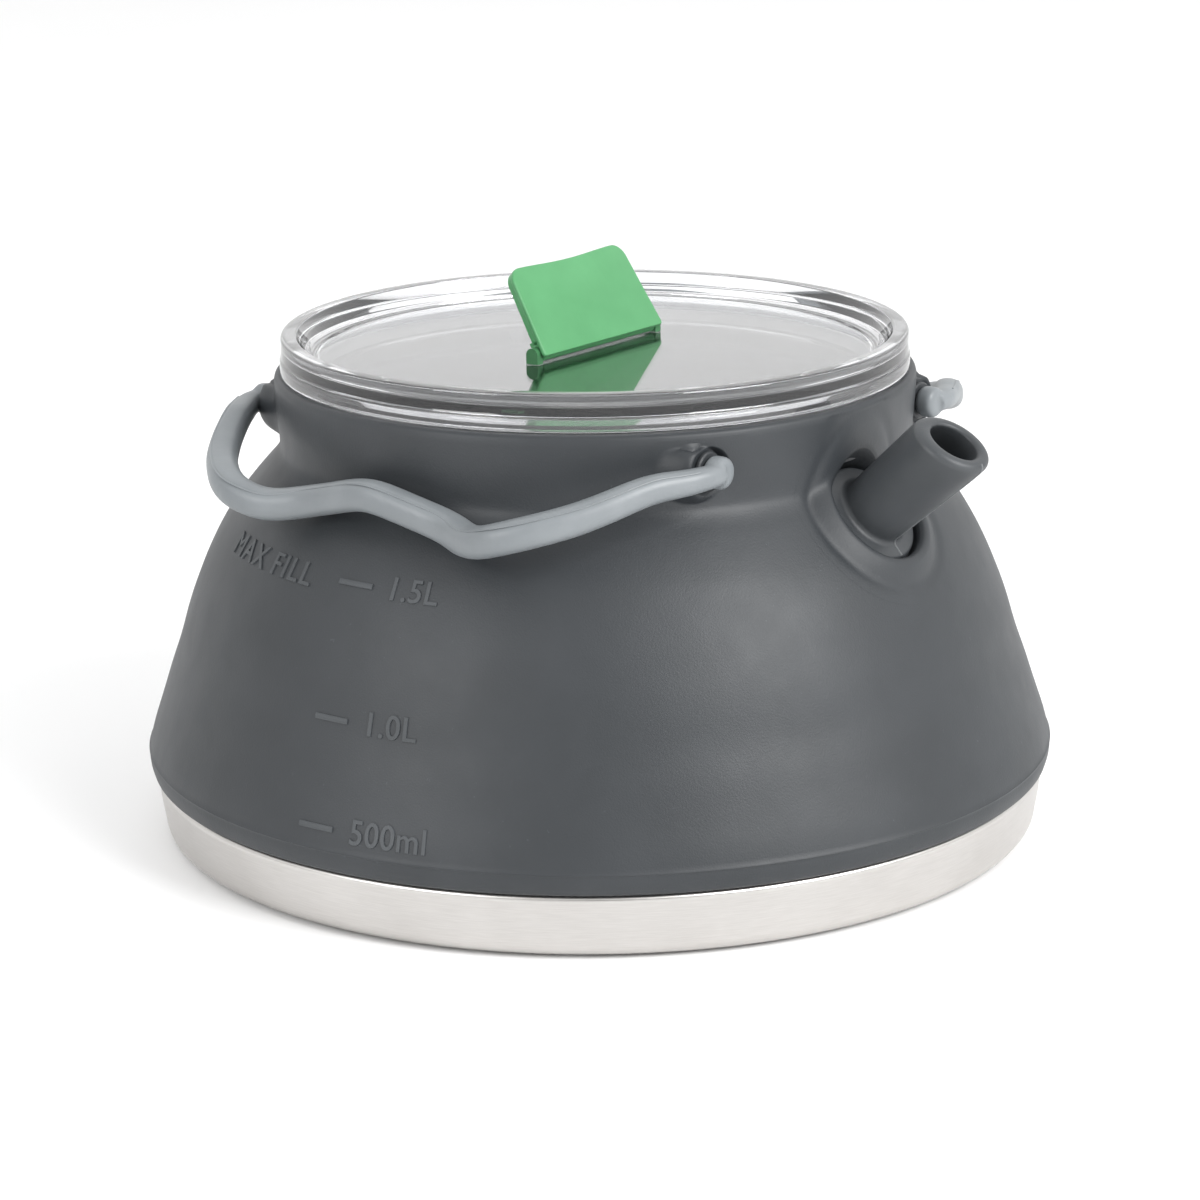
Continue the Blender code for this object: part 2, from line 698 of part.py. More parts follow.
def make_lid():
    """The clear lid: sunk disc, raised rim with a ledge, skirt below and two hinge lugs."""
    radius = lid_radius()
    underside = lid_underside()
    skirt = skirt_radius()
    top = underside + LID_HEIGHT
    edge = LID_EDGE
    outer = radius - LID_LEDGE
    inner = radius - LID_RIM_WALL
    tray = tray_height()
    ledge = underside + LID_LEDGE_HEIGHT
    under = tray - LID_DISC
    foot = underside - SKIRT_DEPTH
    skirt_inner = skirt - SKIRT_WALL
    outline = [(0.0, tray), (inner - edge, tray)]
    outline += arc((inner - edge, tray + edge), edge, -60.0, 0.0, 2)
    outline += arc((inner + edge, top - edge), edge, 180.0, 90.0, 2)
    outline += arc((outer - edge, top - edge), edge, 90.0, 0.0, 2)
    outline += [(outer, ledge + LID_LEDGE), (radius, ledge),
                (radius, underside + edge), (radius - edge, underside), (skirt, underside),
                (skirt, foot + 2 * SKIRT_BEAD), (skirt + SKIRT_BEAD, foot + SKIRT_BEAD),
                (skirt, foot), (skirt_inner, foot), (skirt_inner, under), (0.0, under)]
    lid = turned("lid", outline, assembly, clear_plastic, closed=False)
    for side in (-1, 1):
        middle = side * lug_middle()
        combine(lid, make_lug("lug_%+d" % side, middle), "UNION")
    drill = cylinder("lug_bore", TAB_PIN_RADIUS + CLEARANCE,
                     (0.0, -TAB_WIDTH / 2, barrel_height()), (0.0, TAB_WIDTH / 2, barrel_height()),
                     tools, steps=16)
    combine(lid, drill, "DIFFERENCE")
    return lid


def make_gasket():
    """Ribbed seal round the lid's skirt."""
    high = lid_underside() - GASKET_DROP
    low = high - GASKET_HEIGHT
    inner = skirt_radius() + CLEARANCE
    outer = inner + GASKET_WIDTH
    rib = GASKET_HEIGHT / GASKET_LIPS
    outline = [(inner, high), (outer - GASKET_GROOVE, high)]
    for lip in range(GASKET_LIPS):
        start = high - lip * rib
        outline += [(outer, start - rib * 0.3), (outer, start - rib * 0.6),
                    (outer - GASKET_GROOVE, start - rib)]
    outline += [(inner, low)]
    return turned("lid_gasket", outline, assembly, gasket_silicone)


def make_tab():
    """The folding tab: a round-cornered plate on a hinge barrel, leaning back."""
    half = TAB_WIDTH / 2
    low = TAB_FOOT_GAP
    high = TAB_FOOT_GAP + TAB_HEIGHT
    corner = TAB_CORNER
    small = TAB_CORNER / 4
    outline = arc((half - corner, high - corner), corner, 0.0, 90.0, 5)
    outline += arc((-half + corner, high - corner), corner, 90.0, 180.0, 5)
    outline += arc((-half + small, low + small), small, 180.0, 270.0, 2)
    outline += arc((half - small, low + small), small, 270.0, 360.0, 2)
    shape = bmesh.new()
    rim = [shape.verts.new((-TAB_THICKNESS / 2, across, rise)) for across, rise in outline]
    face = shape.faces.new(rim)
    grown = bmesh.ops.extrude_face_region(shape, geom=[face])
    moved = [part for part in grown["geom"] if isinstance(part, bmesh.types.BMVert)]
    bmesh.ops.translate(shape, verts=moved, vec=(TAB_THICKNESS, 0.0, 0.0))
    bmesh.ops.recalc_face_normals(shape, faces=shape.faces)
    mesh = bpy.data.meshes.new("lid_tab")
    shape.to_mesh(mesh)
    shape.free()
    tab = link(mesh, "lid_tab", assembly, tab_plastic)
    bevel = tab.modifiers.new("edge", "BEVEL")
    bevel.width = TAB_EDGE
    bevel.segments = 2
    bevel.limit_method = "ANGLE"
    bevel.angle_limit = math.radians(50.0)
    span = lug_middle() - LUG_THICKNESS / 2 - CLEARANCE
    place = Matrix.Translation((0.0, 0.0, barrel_height())) @ Matrix.Rotation(-TAB_LEAN, 4, "Y")
    web = block("tab_web", (-TAB_THICKNESS / 2, -span, 0.0), (TAB_THICKNESS / 2, span, 2 * low),
                tools)
    barrel = cylinder("tab_barrel", BARREL_RADIUS, (0.0, -span, 0.0), (0.0, span, 0.0), tools,
                      steps=20)
    drill = cylinder("tab_bore", TAB_PIN_RADIUS + CLEARANCE, (0.0, -half, 0.0), (0.0, half, 0.0),
                     tools, steps=16)
    for tool, operation in ((web, "UNION"), (barrel, "UNION"), (drill, "DIFFERENCE")):
        tool.matrix_world = place
        combine(tab, tool, operation)
    tab.matrix_world = place
    return tab


def make_tab_pin():
    """Steel pin through the lugs and the barrel."""
    half = lug_middle() + LUG_THICKNESS / 2
    return cylinder("tab_pin", TAB_PIN_RADIUS, (0.0, -half, barrel_height()),
                    (0.0, half, barrel_height()), assembly, steel, steps=16)


clear_scene()
assembly = new_collection("collapsible_kettle")
tools = new_collection("tool_shapes")
steel = new_material("brushed_steel", (0.72, 0.72, 0.71), 0.32, metallic=1.0)
silicone = new_material("dark_silicone", (0.085, 0.093, 0.100), 0.62)
gasket_silicone = new_material("seal_silicone", (0.45, 0.46, 0.45), 0.55)
ring_plastic = new_material("dark_nylon", (0.060, 0.064, 0.068), 0.50)
spout_plastic = new_material("spout_plastic", (0.080, 0.086, 0.092), 0.50)
handle_plastic = new_material("grey_nylon", (0.40, 0.43, 0.44), 0.45)
clear_plastic = new_material("clear_plastic", (0.88, 0.89, 0.90), 0.05, alpha=0.35)
tab_plastic = new_material("green_plastic", (0.15, 0.50, 0.22), 0.40)

base_body = body("base_body", (0.0, 0.0, 0.0))
neck_body = body("neck_body", (0.0, 0.0, FOLD_HEAD_HEIGHT), base_body)
right_hinge = body("handle_right_hinge", (0.0, -HINGE_OFFSET, hinge_height()), neck_body)
left_hinge = body("handle_left_hinge", (0.0, HINGE_OFFSET, hinge_height()), neck_body)
lid_body = body("lid_body", (0.0, 0.0, lid_underside()), neck_body)
tab_hinge = body("tab_hinge", (0.0, 0.0, barrel_height()), lid_body)

carry(make_pan(), base_body)
carry(make_lower_wall(), base_body)
carry(make_fold_wall(), base_body)
carry(make_upper_wall(), neck_body)
carry(make_mouth_ring(), neck_body)
for end_name, end_sign in (("front", 1), ("rear", -1)):
    for side_name, side_sign in (("right", -1), ("left", 1)):
        bush_name = "hinge_bush_%s_%s" % (end_name, side_name)
        carry(make_bush(bush_name, end_sign, side_sign), neck_body)
carry(make_spout(), neck_body)
carry(make_spout_washer(), neck_body)
carry(make_spout_nut(), neck_body)
carry(make_handle("handle_right", -1), right_hinge)
carry(make_handle("handle_left", 1), left_hinge)
carry(make_lid(), lid_body)
carry(make_gasket(), lid_body)
carry(make_tab_pin(), lid_body)
carry(make_tab(), tab_hinge)
bpy.context.view_layer.update()
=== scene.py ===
"""Looks of the collapsible kettle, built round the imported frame. Metres, +Z up, +X to the spout."""
import math

import bmesh
import bpy
import numpy as np
from mathutils import Matrix, Vector


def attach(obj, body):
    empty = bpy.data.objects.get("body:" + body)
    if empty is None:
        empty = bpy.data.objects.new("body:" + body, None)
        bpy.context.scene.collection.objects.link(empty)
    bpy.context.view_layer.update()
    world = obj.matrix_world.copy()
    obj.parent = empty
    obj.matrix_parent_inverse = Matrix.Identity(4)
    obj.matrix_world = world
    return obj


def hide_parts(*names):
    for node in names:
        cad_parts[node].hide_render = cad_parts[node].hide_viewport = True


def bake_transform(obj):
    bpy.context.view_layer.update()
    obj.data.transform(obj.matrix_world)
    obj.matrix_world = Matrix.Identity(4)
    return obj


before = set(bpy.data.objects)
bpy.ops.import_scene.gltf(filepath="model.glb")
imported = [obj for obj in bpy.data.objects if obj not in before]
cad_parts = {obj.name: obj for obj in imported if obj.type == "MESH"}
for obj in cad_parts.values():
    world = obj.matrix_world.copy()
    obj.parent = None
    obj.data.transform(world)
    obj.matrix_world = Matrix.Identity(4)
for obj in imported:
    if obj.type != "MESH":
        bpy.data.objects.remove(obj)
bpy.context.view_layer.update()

# Sizes shared with the frame
CLEARANCE = 0.0003
WALL_RADIUS = 0.0940
WALL_FOOT = 0.0129
WALL_TOP = 0.0950
WALL_LIP = 0.0006
WALL_OUTLINE = np.array((
    (0.000, 0.9915), (0.040, 1.0000), (0.092, 0.9915), (0.161, 0.9720), (0.230, 0.9520),
    (0.321, 0.9250), (0.436, 0.8936), (0.493, 0.8746), (0.551, 0.8518), (0.608, 0.8266),
    (0.665, 0.7955), (0.712, 0.7640), (0.756, 0.7310), (0.785, 0.7080), (0.806, 0.6950),
    (0.822, 0.6905), (0.850, 0.6905), (0.9145, 0.6955), (0.975, 0.6985), (1.000, 0.6975)))
FOLD_HEAD = 0.0490
PAN_RIM = 0.0208
NECK_WALL = 0.0021
BORE_HEIGHT = 0.0828
RING_SHEET = 0.0015
HINGE_OFFSET = 0.0370
HINGE_HEIGHT = 0.0875
HINGE_SEAT_RISE = 0.0006
PIN_RADIUS = 0.0020
SPOUT_SEAT_HEIGHT = 0.0736
SPOUT_SEAT_DEPTH = 0.0018
SPOUT_RISE = math.radians(41.5)
TAB_LEAN = math.radians(32.0)
AXIS_HEIGHT = 0.1004
TRAY_HEIGHT = 0.0987
LID_UNDERSIDE = 0.0953
LID_TOP = 0.1028
TAB_HALF = 0.0208
TAB_GAP = 0.0002
LUG_HALF = 0.0008

# The photograph looks at the kettle from this many degrees off its spout
PHOTO_AZIMUTH = 52.5


def wall_radius(height):
    """Outer radius of the wall at a height or heights, on the same smooth curve as the frame's."""
    share = np.clip((np.asarray(height, float) - WALL_FOOT) / (WALL_TOP - WALL_FOOT), 0.0, 1.0)
    rise, run = WALL_OUTLINE[:, 0], WALL_OUTLINE[:, 1]
    last = len(rise) - 1
    index = np.clip(np.searchsorted(rise, share, side="right") - 1, 0, last - 1)
    before = np.maximum(index - 1, 0)
    after = np.minimum(index + 2, last)
    span = rise[index + 1] - rise[index]
    part = (share - rise[index]) / span
    slope_in = (run[index + 1] - run[before]) / (rise[index + 1] - rise[before]) * span
    slope_out = (run[after] - run[index]) / (rise[after] - rise[index]) * span
    value = run[index] + (run[index + 1] - run[index]) * part * part * (3.0 - 2.0 * part)
    value = value + slope_in * part * (1.0 - part) ** 2 - slope_out * part * part * (1.0 - part)
    return WALL_RADIUS * value


BORE_RADIUS = float(wall_radius(BORE_HEIGHT)) - NECK_WALL
HINGE_SEAT = math.sqrt(float(wall_radius(HINGE_HEIGHT)) ** 2 - HINGE_OFFSET ** 2) + HINGE_SEAT_RISE
EYE_FACE = HINGE_SEAT + 2 * CLEARANCE + 0.0008
SPOUT_SEAT = np.array((float(wall_radius(SPOUT_SEAT_HEIGHT)) - SPOUT_SEAT_DEPTH, 0.0,
                       SPOUT_SEAT_HEIGHT))
SPOUT_ALONG = np.array((math.cos(SPOUT_RISE), 0.0, math.sin(SPOUT_RISE)))
SPOUT_OUT = np.array((math.sin(SPOUT_RISE), 0.0, -math.cos(SPOUT_RISE)))
SPOUT_ACROSS = np.array((0.0, 1.0, 0.0))


# ---------------------------------------------------------------- materials

class Finish:
    """A material under construction: a Principled shader and the nodes that drive it."""

    def __init__(self, name, roughness, metallic=0.0):
        self.material = bpy.data.materials.new(name)
        self.material.use_nodes = True
        self.tree = self.material.node_tree
        self.shader = self.tree.nodes["Principled BSDF"]
        self.shader.inputs["Roughness"].default_value = roughness
        self.shader.inputs["Metallic"].default_value = metallic
        self.place = self.tree.nodes.new("ShaderNodeTexCoord").outputs["Object"]

    def feed(self, socket, value):
        """Link a socket to another node's output, or set it to a plain value."""
        if isinstance(value, bpy.types.NodeSocket):
            self.tree.links.new(value, socket)
        else:
            socket.default_value = value

    def node(self, kind, **inputs):
        made = self.tree.nodes.new(kind)
        for name, value in inputs.items():
            self.feed(made.inputs[name.replace("_", " ")], value)
        return made

    def noise(self, scale, detail=2.0, stretch=(1.0, 1.0, 1.0), rough=0.5, place=None):
        """Noise at so many features to the metre, squeezed along an axis by its stretch."""
        mapping = self.node("ShaderNodeMapping", Vector=place or self.place, Scale=stretch)
        made = self.node("ShaderNodeTexNoise", Vector=mapping.outputs["Vector"], Scale=scale,
                         Detail=detail, Roughness=rough)
        return made.outputs["Fac"]

    def ramp(self, value, stops):
        """Colours or greys along a value from 0 to 1."""
        made = self.node("ShaderNodeValToRGB", Fac=value)
        line = made.color_ramp
        while len(line.elements) < len(stops):
            line.elements.new(0.5)
        for element, (place, colour) in zip(line.elements, stops):
            element.position = place
            if not hasattr(colour, "__len__"):
                colour = (colour, colour, colour)
            element.color = (*colour, 1.0)
        return made.outputs["Color"]

    def blend(self, factor, first, second):
        """A mix of two colours."""
        made = self.tree.nodes.new("ShaderNodeMix")
        made.data_type = "RGBA"
        for socket, value in ((made.inputs[0], factor), (made.inputs[6], first),
                              (made.inputs[7], second)):
            self.feed(socket, (*value, 1.0) if isinstance(value, tuple) else value)
        return made.outputs[2]

    def math(self, operation, first, second=0.5):
        made = self.tree.nodes.new("ShaderNodeMath")
        made.operation = operation
        for socket, value in zip(made.inputs, (first, second)):
            self.feed(socket, value)
        return made.outputs[0]

    def colour(self, value):
        self.feed(self.shader.inputs["Base Color"], value)

    def roughness(self, value, low, high):
        made = self.node("ShaderNodeMapRange", Value=value, To_Min=low, To_Max=high)
        self.feed(self.shader.inputs["Roughness"], made.outputs["Result"])

    def relief(self, *layers):
        """Bumps laid over each other, each a value, its strength and its depth in metres."""
        normal = None
        for value, strength, depth in layers:
            bump = self.node("ShaderNodeBump", Height=value, Strength=strength, Distance=depth)
            if normal:
                self.feed(bump.inputs["Normal"], normal)
            normal = bump.outputs["Normal"]
        self.feed(self.shader.inputs["Normal"], normal)


def silicone_finish(name, low, high, roughness=0.55):
    """Matte moulded silicone: soft clouding, a fine grain and a little pale dust."""
    finish = Finish(name, roughness)
    cloud = finish.noise(42.0, 3.0)
    grain = finish.noise(2600.0, 2.0)
    body = finish.ramp(cloud, ((0.30, low), (0.72, high)))
    fleck = finish.ramp(finish.noise(950.0, 3.0, rough=0.65), ((0.690, 0.0), (0.735, 1.0)))
    patch = finish.ramp(finish.noise(26.0, 2.0), ((0.42, 0.0), (0.70, 0.30)))
    dust = finish.math("MULTIPLY", fleck, patch)
    finish.colour(finish.blend(dust, body, tuple(min(1.0, value * 4.2) for value in high)))
    finish.roughness(finish.noise(120.0, 3.0), roughness - 0.06, roughness + 0.07)
    finish.relief((grain, 0.16, 0.00025), (finish.noise(520.0, 2.0), 0.05, 0.0004))
    return finish.material


def steel_finish():
    """Satin stainless steel, brushed in rings round the pan's axis."""
    finish = Finish("brushed_steel", 0.3, 1.0)
    split = finish.node("ShaderNodeSeparateXYZ", Vector=finish.place)
    squares = finish.math("ADD", finish.math("MULTIPLY", split.outputs["X"], split.outputs["X"]),
                          finish.math("MULTIPLY", split.outputs["Y"], split.outputs["Y"]))
    reach = finish.math("SQRT", squares)
    turn = finish.math("ARCTAN2", split.outputs["Y"], split.outputs["X"])
    ring = finish.node("ShaderNodeCombineXYZ", X=reach, Y=split.outputs["Z"],
                       Z=finish.math("MULTIPLY", turn, 0.0035))
    lines = finish.noise(5200.0, 3.0, place=ring.outputs["Vector"], rough=0.6)
    bands = finish.noise(560.0, 2.0, place=ring.outputs["Vector"])
    cloud = finish.noise(34.0, 3.0)
    tone = finish.ramp(finish.math("ADD", finish.math("MULTIPLY", lines, 0.5),
                                   finish.math("MULTIPLY", cloud, 0.5)),
                       ((0.32, (0.495, 0.478, 0.460)), (0.68, (0.610, 0.593, 0.575))))
    finish.colour(tone)
    finish.roughness(finish.math("ADD", finish.math("MULTIPLY", lines, 0.6),
                                 finish.math("MULTIPLY", bands, 0.4)), 0.24, 0.42)
    finish.relief((lines, 0.10, 0.00006), (bands, 0.05, 0.00012))
    finish.shader.inputs["Anisotropic"].default_value = 0.5
    return finish.material


def plastic_finish(name, low, high, roughness, grain=1500.0, strength=0.08):
    """Moulded plastic: slight clouding of its colour, uneven gloss and a fine moulded grain."""
    finish = Finish(name, roughness)
    body = finish.ramp(finish.noise(95.0, 3.0), ((0.28, low), (0.74, high)))
    speck = finish.ramp(finish.noise(1700.0, 2.0), ((0.70, 0.0), (0.76, 0.22)))
    finish.colour(finish.blend(speck, body, tuple(value * 0.72 for value in low)))
    finish.roughness(finish.noise(210.0, 3.0), roughness - 0.07, roughness + 0.08)
    finish.relief((finish.noise(grain, 2.0), strength, 0.0002))
    return finish.material


def clear_finish(name, clearness, gloss, index=1.55, low=(0.93, 0.935, 0.955),
                 high=(0.97, 0.975, 0.985)):
    """See-through plastic with a clouded tint, uneven gloss and a slow moulding ripple."""
    finish = Finish(name, gloss)
    tint = finish.ramp(finish.noise(30.0, 2.0), ((0.3, low), (0.7, high)))
    finish.colour(tint)
    finish.roughness(finish.noise(90.0, 3.0), gloss * 0.5, gloss * 1.6)
    finish.relief((finish.noise(24.0, 1.0), 0.006, 0.0003))
    finish.shader.inputs["Transmission Weight"].default_value = clearness
    finish.shader.inputs["IOR"].default_value = index
    return finish.material


def floor_finish():
    """Pale, slightly clouded floor."""
    finish = Finish("pale_floor", 0.7)
    finish.colour(finish.ramp(finish.noise(3.0, 2.0), ((0.3, 0.91), (0.7, 0.94))))
    finish.relief((finish.noise(400.0, 2.0), 0.03, 0.0002))
    return finish.material


SILICONE = silicone_finish("dark_silicone", (0.0215, 0.0250, 0.0285), (0.0300, 0.0340, 0.0385),
                           0.50)
# A lighter copy of the wall's silicone for the raised marks: painted highlight standing in for the
# light their raised edges catch.
PAINTED_LIGHT_MARKING = silicone_finish("raised_silicone_painted_light", (0.040, 0.045, 0.049), (0.062, 0.068, 0.074), 0.55)
SEAL = silicone_finish("seal_silicone", (0.40, 0.41, 0.40), (0.50, 0.51, 0.50), 0.5)
NYLON = plastic_finish("ring_nylon", (0.028, 0.031, 0.034), (0.040, 0.044, 0.048), 0.48)
SPOUT_NYLON = plastic_finish("spout_nylon", (0.038, 0.042, 0.046), (0.052, 0.057, 0.062), 0.46,
                             grain=2300.0, strength=0.12)
# A lighter copy of the spout's plastic for its parting line: painted highlight along the seam's
# ridge.
SPOUT_SEAM_HIGHLIGHT = plastic_finish("spout_seam_painted_highlight", (0.120, 0.126, 0.132), (0.150, 0.158, 0.165), 0.42)
HANDLE_NYLON = plastic_finish("handle_nylon", (0.166, 0.182, 0.193), (0.204, 0.221, 0.232), 0.40)
TAB_PLASTIC = plastic_finish("tab_plastic", (0.070, 0.275, 0.105), (0.088, 0.315, 0.128), 0.34,
                             grain=900.0, strength=0.05)
CLEAR = clear_finish("clear_plastic", 1.0, 0.02)
EDGE = clear_finish("clear_edge", 0.96, 0.022)
LUG = clear_finish("tinted_lug", 0.35, 0.35, 1.40, (0.070, 0.240, 0.100), (0.090, 0.290, 0.125))
STEEL = steel_finish()


# ---------------------------------------------------------------- shapes

def smooth(value):
    """An eased step from 0 to 1."""
    value = np.clip(value, 0.0, 1.0)
    return value * value * (3.0 - 2.0 * value)


def arc(centre, radius, start, end, steps):
    """Points on an arc between two angles in degrees."""
    angles = np.radians(np.linspace(start, end, steps + 1))
    return [(centre[0] + radius * math.cos(a), centre[1] + radius * math.sin(a)) for a in angles]


def link(name, data):
    """A new object in the scene."""
    item = bpy.data.objects.new(name, data)
    bpy.context.scene.collection.objects.link(item)
    return item


def piece(name, vertices, faces, material, body, stands_for=(), sharp=38.0):
    """A shown mesh that rides on a body and takes the finish it is given."""
    mesh = bpy.data.meshes.new(name)
    mesh.from_pydata([tuple(v) for v in vertices], [], [tuple(f) for f in faces])
    mesh.update()
    shape = bmesh.new()
    shape.from_mesh(mesh)
    bmesh.ops.recalc_face_normals(shape, faces=shape.faces)
    shape.to_mesh(mesh)
    shape.free()
    mesh.shade_smooth()
    if sharp:
        mesh.set_sharp_from_angle(angle=math.radians(sharp))
    mesh.materials.append(material)
    item = link(name, mesh)
    if body:
        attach(item, body)
    if stands_for:
        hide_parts(*stands_for)
    return item


def turn_mesh(outline, angles, closed=True):
    """Vertices and faces of an outline turned round Z; a point on the axis becomes one vertex."""
    count = len(angles)
    cosines, sines = np.cos(angles), np.sin(angles)
    vertices, rows = [], []
    for radius, height in outline:
        if radius < 1e-7:
            rows.append([len(vertices)])
            vertices.append((0.0, 0.0, height))
        else:
            rows.append(list(range(len(vertices), len(vertices) + count)))
            vertices.extend(zip(radius * cosines, radius * sines, [height] * count))
    pairs = list(zip(rows, rows[1:]))
    if closed:
        pairs.append((rows[-1], rows[0]))
    faces = []
    for upper, lower in pairs:
        for step in range(count):
            after = (step + 1) % count
            if len(upper) == 1 and len(lower) == 1:
                break
            if len(upper) == 1:
                faces.append((upper[0], lower[step], lower[after]))
            elif len(lower) == 1:
                faces.append((upper[step], lower[0], upper[after]))
            else:
                faces.append((upper[step], lower[step], lower[after], upper[after]))
    return np.array(vertices), faces


def even(count):
    """Angles spread evenly round a circle."""
    return np.arange(count) * (2.0 * math.pi / count)


def placed(vertices, origin, first, second, third):
    """Local points set in the frame: origin plus each coordinate along its own direction."""
    axes = np.array((first, second, third))
    return np.asarray(origin) + np.asarray(vertices) @ axes


def turned(name, outline, material, body, stands_for=(), steps=256, closed=True,
           frame_axes=None, sharp=38.0):
    """A piece made by turning an outline round Z, or round the last of the given axes."""
    vertices, faces = turn_mesh(outline, even(steps), closed)
    if frame_axes is not None:
        vertices = placed(vertices, *frame_axes)
    return piece(name, vertices, faces, material, body, stands_for, sharp)


def curve_through(points, steps):
    """Closer points on a smooth curve through the given rows."""
    points = np.asarray(points, float)
    last = len(points) - 1
    result = []
    for index in range(last):
        before = points[max(index - 1, 0)]
        start = points[index]
        end = points[index + 1]
        after = points[min(index + 2, last)]
        for step in range(steps):
            part = step / steps
            result.append(0.5 * (2.0 * start + (end - before) * part
                                 + (2.0 * before - 5.0 * start + 4.0 * end - after) * part ** 2
                                 + (3.0 * start - before - 3.0 * end + after) * part ** 3))
    result.append(points[-1])
    return np.array(result)


def unit(vectors):
    """The same directions, each one long."""
    return vectors / np.linalg.norm(vectors, axis=1)[:, None]


def route_frame(route):
    """Directions level across a route, and up from it."""
    tangent = unit(np.gradient(route, axis=0))
    side = unit(np.cross(tangent, (0.0, 0.0, 1.0)))
    return side, np.cross(side, tangent)


def ring_faces(rings, count):
    """Faces between rings that have so many points each."""
    faces = []
    for ring in range(rings - 1):
        for step in range(count):
            after = (step + 1) % count
            faces.append((ring * count + step, ring * count + after,
                          (ring + 1) * count + after, (ring + 1) * count + step))
    return faces


def sweep(route, section, fullness):
    """Vertices and faces of a section carried along a route, its own up kept towards +Z."""
    route = np.asarray(route, float)
    side, up = route_frame(route)
    section = np.asarray(section)
    count = len(section)
    vertices = (route[:, None, :] + fullness[:, None, None]
                * (section[None, :, 0, None] * side[:, None, :]
                   + section[None, :, 1, None] * up[:, None, :])).reshape(-1, 3)
    faces = ring_faces(len(route), count)
    faces.append(tuple(range(count))[::-1])
    faces.append(tuple((len(route) - 1) * count + step for step in range(count)))
    return vertices, faces


def joined(*parts):
    """Several (vertices, faces) pairs as one."""
    vertices, faces, base = [], [], 0
    for points, loops in parts:
        vertices.append(np.asarray(points, float))
        faces.extend(tuple(index + base for index in loop) for loop in loops)
        base += len(points)
    return np.concatenate(vertices), faces


# ---------------------------------------------------------------- the steel pan

PAN_SHEET = 0.0006
PAN_CORNER = 0.0030
PAN_NECK_INSET = 0.0020
PAN_STAND_INNER = 0.0555
PAN_STAND_OUTER = 0.0700


def make_pan():
    """The pan: raised middle, flat ring that it stands on, band, neck and beaded rim."""
    band = float(wall_radius(WALL_FOOT)) - WALL_LIP
    foot = band - 0.0014
    neck = band - PAN_NECK_INSET
    bead = neck + 0.0009
    centre = (foot - PAN_CORNER, PAN_CORNER)
    outline = [(0.0, 0.0012), (0.052, 0.0010), (0.0545, 0.0002), (PAN_STAND_INNER, 0.0),
               (PAN_STAND_OUTER, 0.0)]
    outline += arc(centre, PAN_CORNER, -90.0, 0.0, 10)
    outline += [(foot + 0.0007, 0.0070), (band - 0.0002, WALL_FOOT - 0.0016),
                (band, WALL_FOOT - 0.0009), (band - 0.0004, WALL_FOOT - 0.0002),
                (neck, WALL_FOOT + PAN_SHEET), (neck, PAN_RIM - 0.0018),
                (bead, PAN_RIM - 0.0009), (bead, PAN_RIM), (neck, PAN_RIM),
                (neck - PAN_SHEET, PAN_RIM - 0.0009), (neck - PAN_SHEET, WALL_FOOT),
                (band - PAN_SHEET, WALL_FOOT - 0.0012)]
    outline += arc(centre, PAN_CORNER - PAN_SHEET, 0.0, -90.0, 8)
    outline += [(PAN_STAND_OUTER, PAN_SHEET), (0.0550, PAN_SHEET + 0.0002), (0.0525, 0.0018),
                (0.0, 0.0020)]
    return turned("pan", outline, STEEL, "base", ("base_pan",), closed=False,
                  sharp=50.0)


# ---------------------------------------------------------------- the silicone wall

BOSS_PROFILE = np.array(((0.0100, 0.0002), (0.01125, 0.0008), (0.0117, 0.0014),
                         (0.0123, 0.0018), (0.0131, 0.0017), (0.0142, 0.0010), (0.0155, 0.0000),
                         (0.0170, -0.0012), (0.0200, -0.0045), (0.0300, -0.0200)))
BOSS_EDGE = 0.01125
VALLEY_REACH = 0.0168
VALLEY_DEPTH = 0.00045
BOSS_FLOOR = -0.0035
BOSS_FAR = 0.0205
BOSS_BACK = -0.0050
SPOUT_SIDE = -0.0120
PAD_PROFILE = np.array(((0.0, 0.0), (0.0042, 0.0), (0.0045, 0.0002), (0.0050, 0.0003),
                        (0.0055, 0.0001), (0.0060, -0.0006), (0.0066, -0.0024),
                        (0.0074, -0.0060), (0.0098, -0.0140), (0.0120, -0.0200)))
PAD_EDGE = 0.0042
PAD_FAR = 0.0098
PATCH_TOP = 0.0937
PATCH_LIFT = 0.00002
PATCH_COVER = 0.0004
RIM_START = 0.0914
RIM_FADE = 0.0018
SHOULDER_WALL = 0.0030
FOLD_WALL = 0.0021
CROWN = 0.0010
RIDGE_HEIGHT = 0.0176


def outline_value(profile, reach):
    """Height on an outline of (reach, height) rows, with its corners eased."""
    ease = 0.0002
    near = np.interp(reach - ease, profile[:, 0], profile[:, 1])
    far = np.interp(reach + ease, profile[:, 0], profile[:, 1])
    return (near + far + 2.0 * np.interp(reach, profile[:, 0], profile[:, 1])) / 4.0


def soft_max(first, second, blend):
    """The higher of two heights, with a fillet where they cross."""
    share = np.clip(0.5 + 0.5 * (first - second) / blend, 0.0, 1.0)
    return second * (1.0 - share) + first * share + blend * share * (1.0 - share)


def boss_level(reach, bare):
    """Height of the collar and the wall round it, along the spout's axis."""
    level = soft_max(bare, outline_value(BOSS_PROFILE, reach), 0.0016)
    level = level - VALLEY_DEPTH * np.exp(-((reach - VALLEY_REACH) / 0.0014) ** 2)
    return level - 0.0003 * (1.0 - smooth((reach - BOSS_EDGE) / 0.0005))


def pad_level(reach, bare, height):
    """How far out along X the hinge seat and the neck round it stand, dying out under the rim."""
    target = HINGE_SEAT + outline_value(PAD_PROFILE, reach)
    rim = smooth((height - RIM_START) / RIM_FADE)
    outer = soft_max(bare, target - 0.012 * rim, 0.0014 * (1.0 - rim) + 0.00001)
    share = np.maximum(smooth((reach - PAD_EDGE) / 0.0006), rim)
    return target + (outer - target) * share


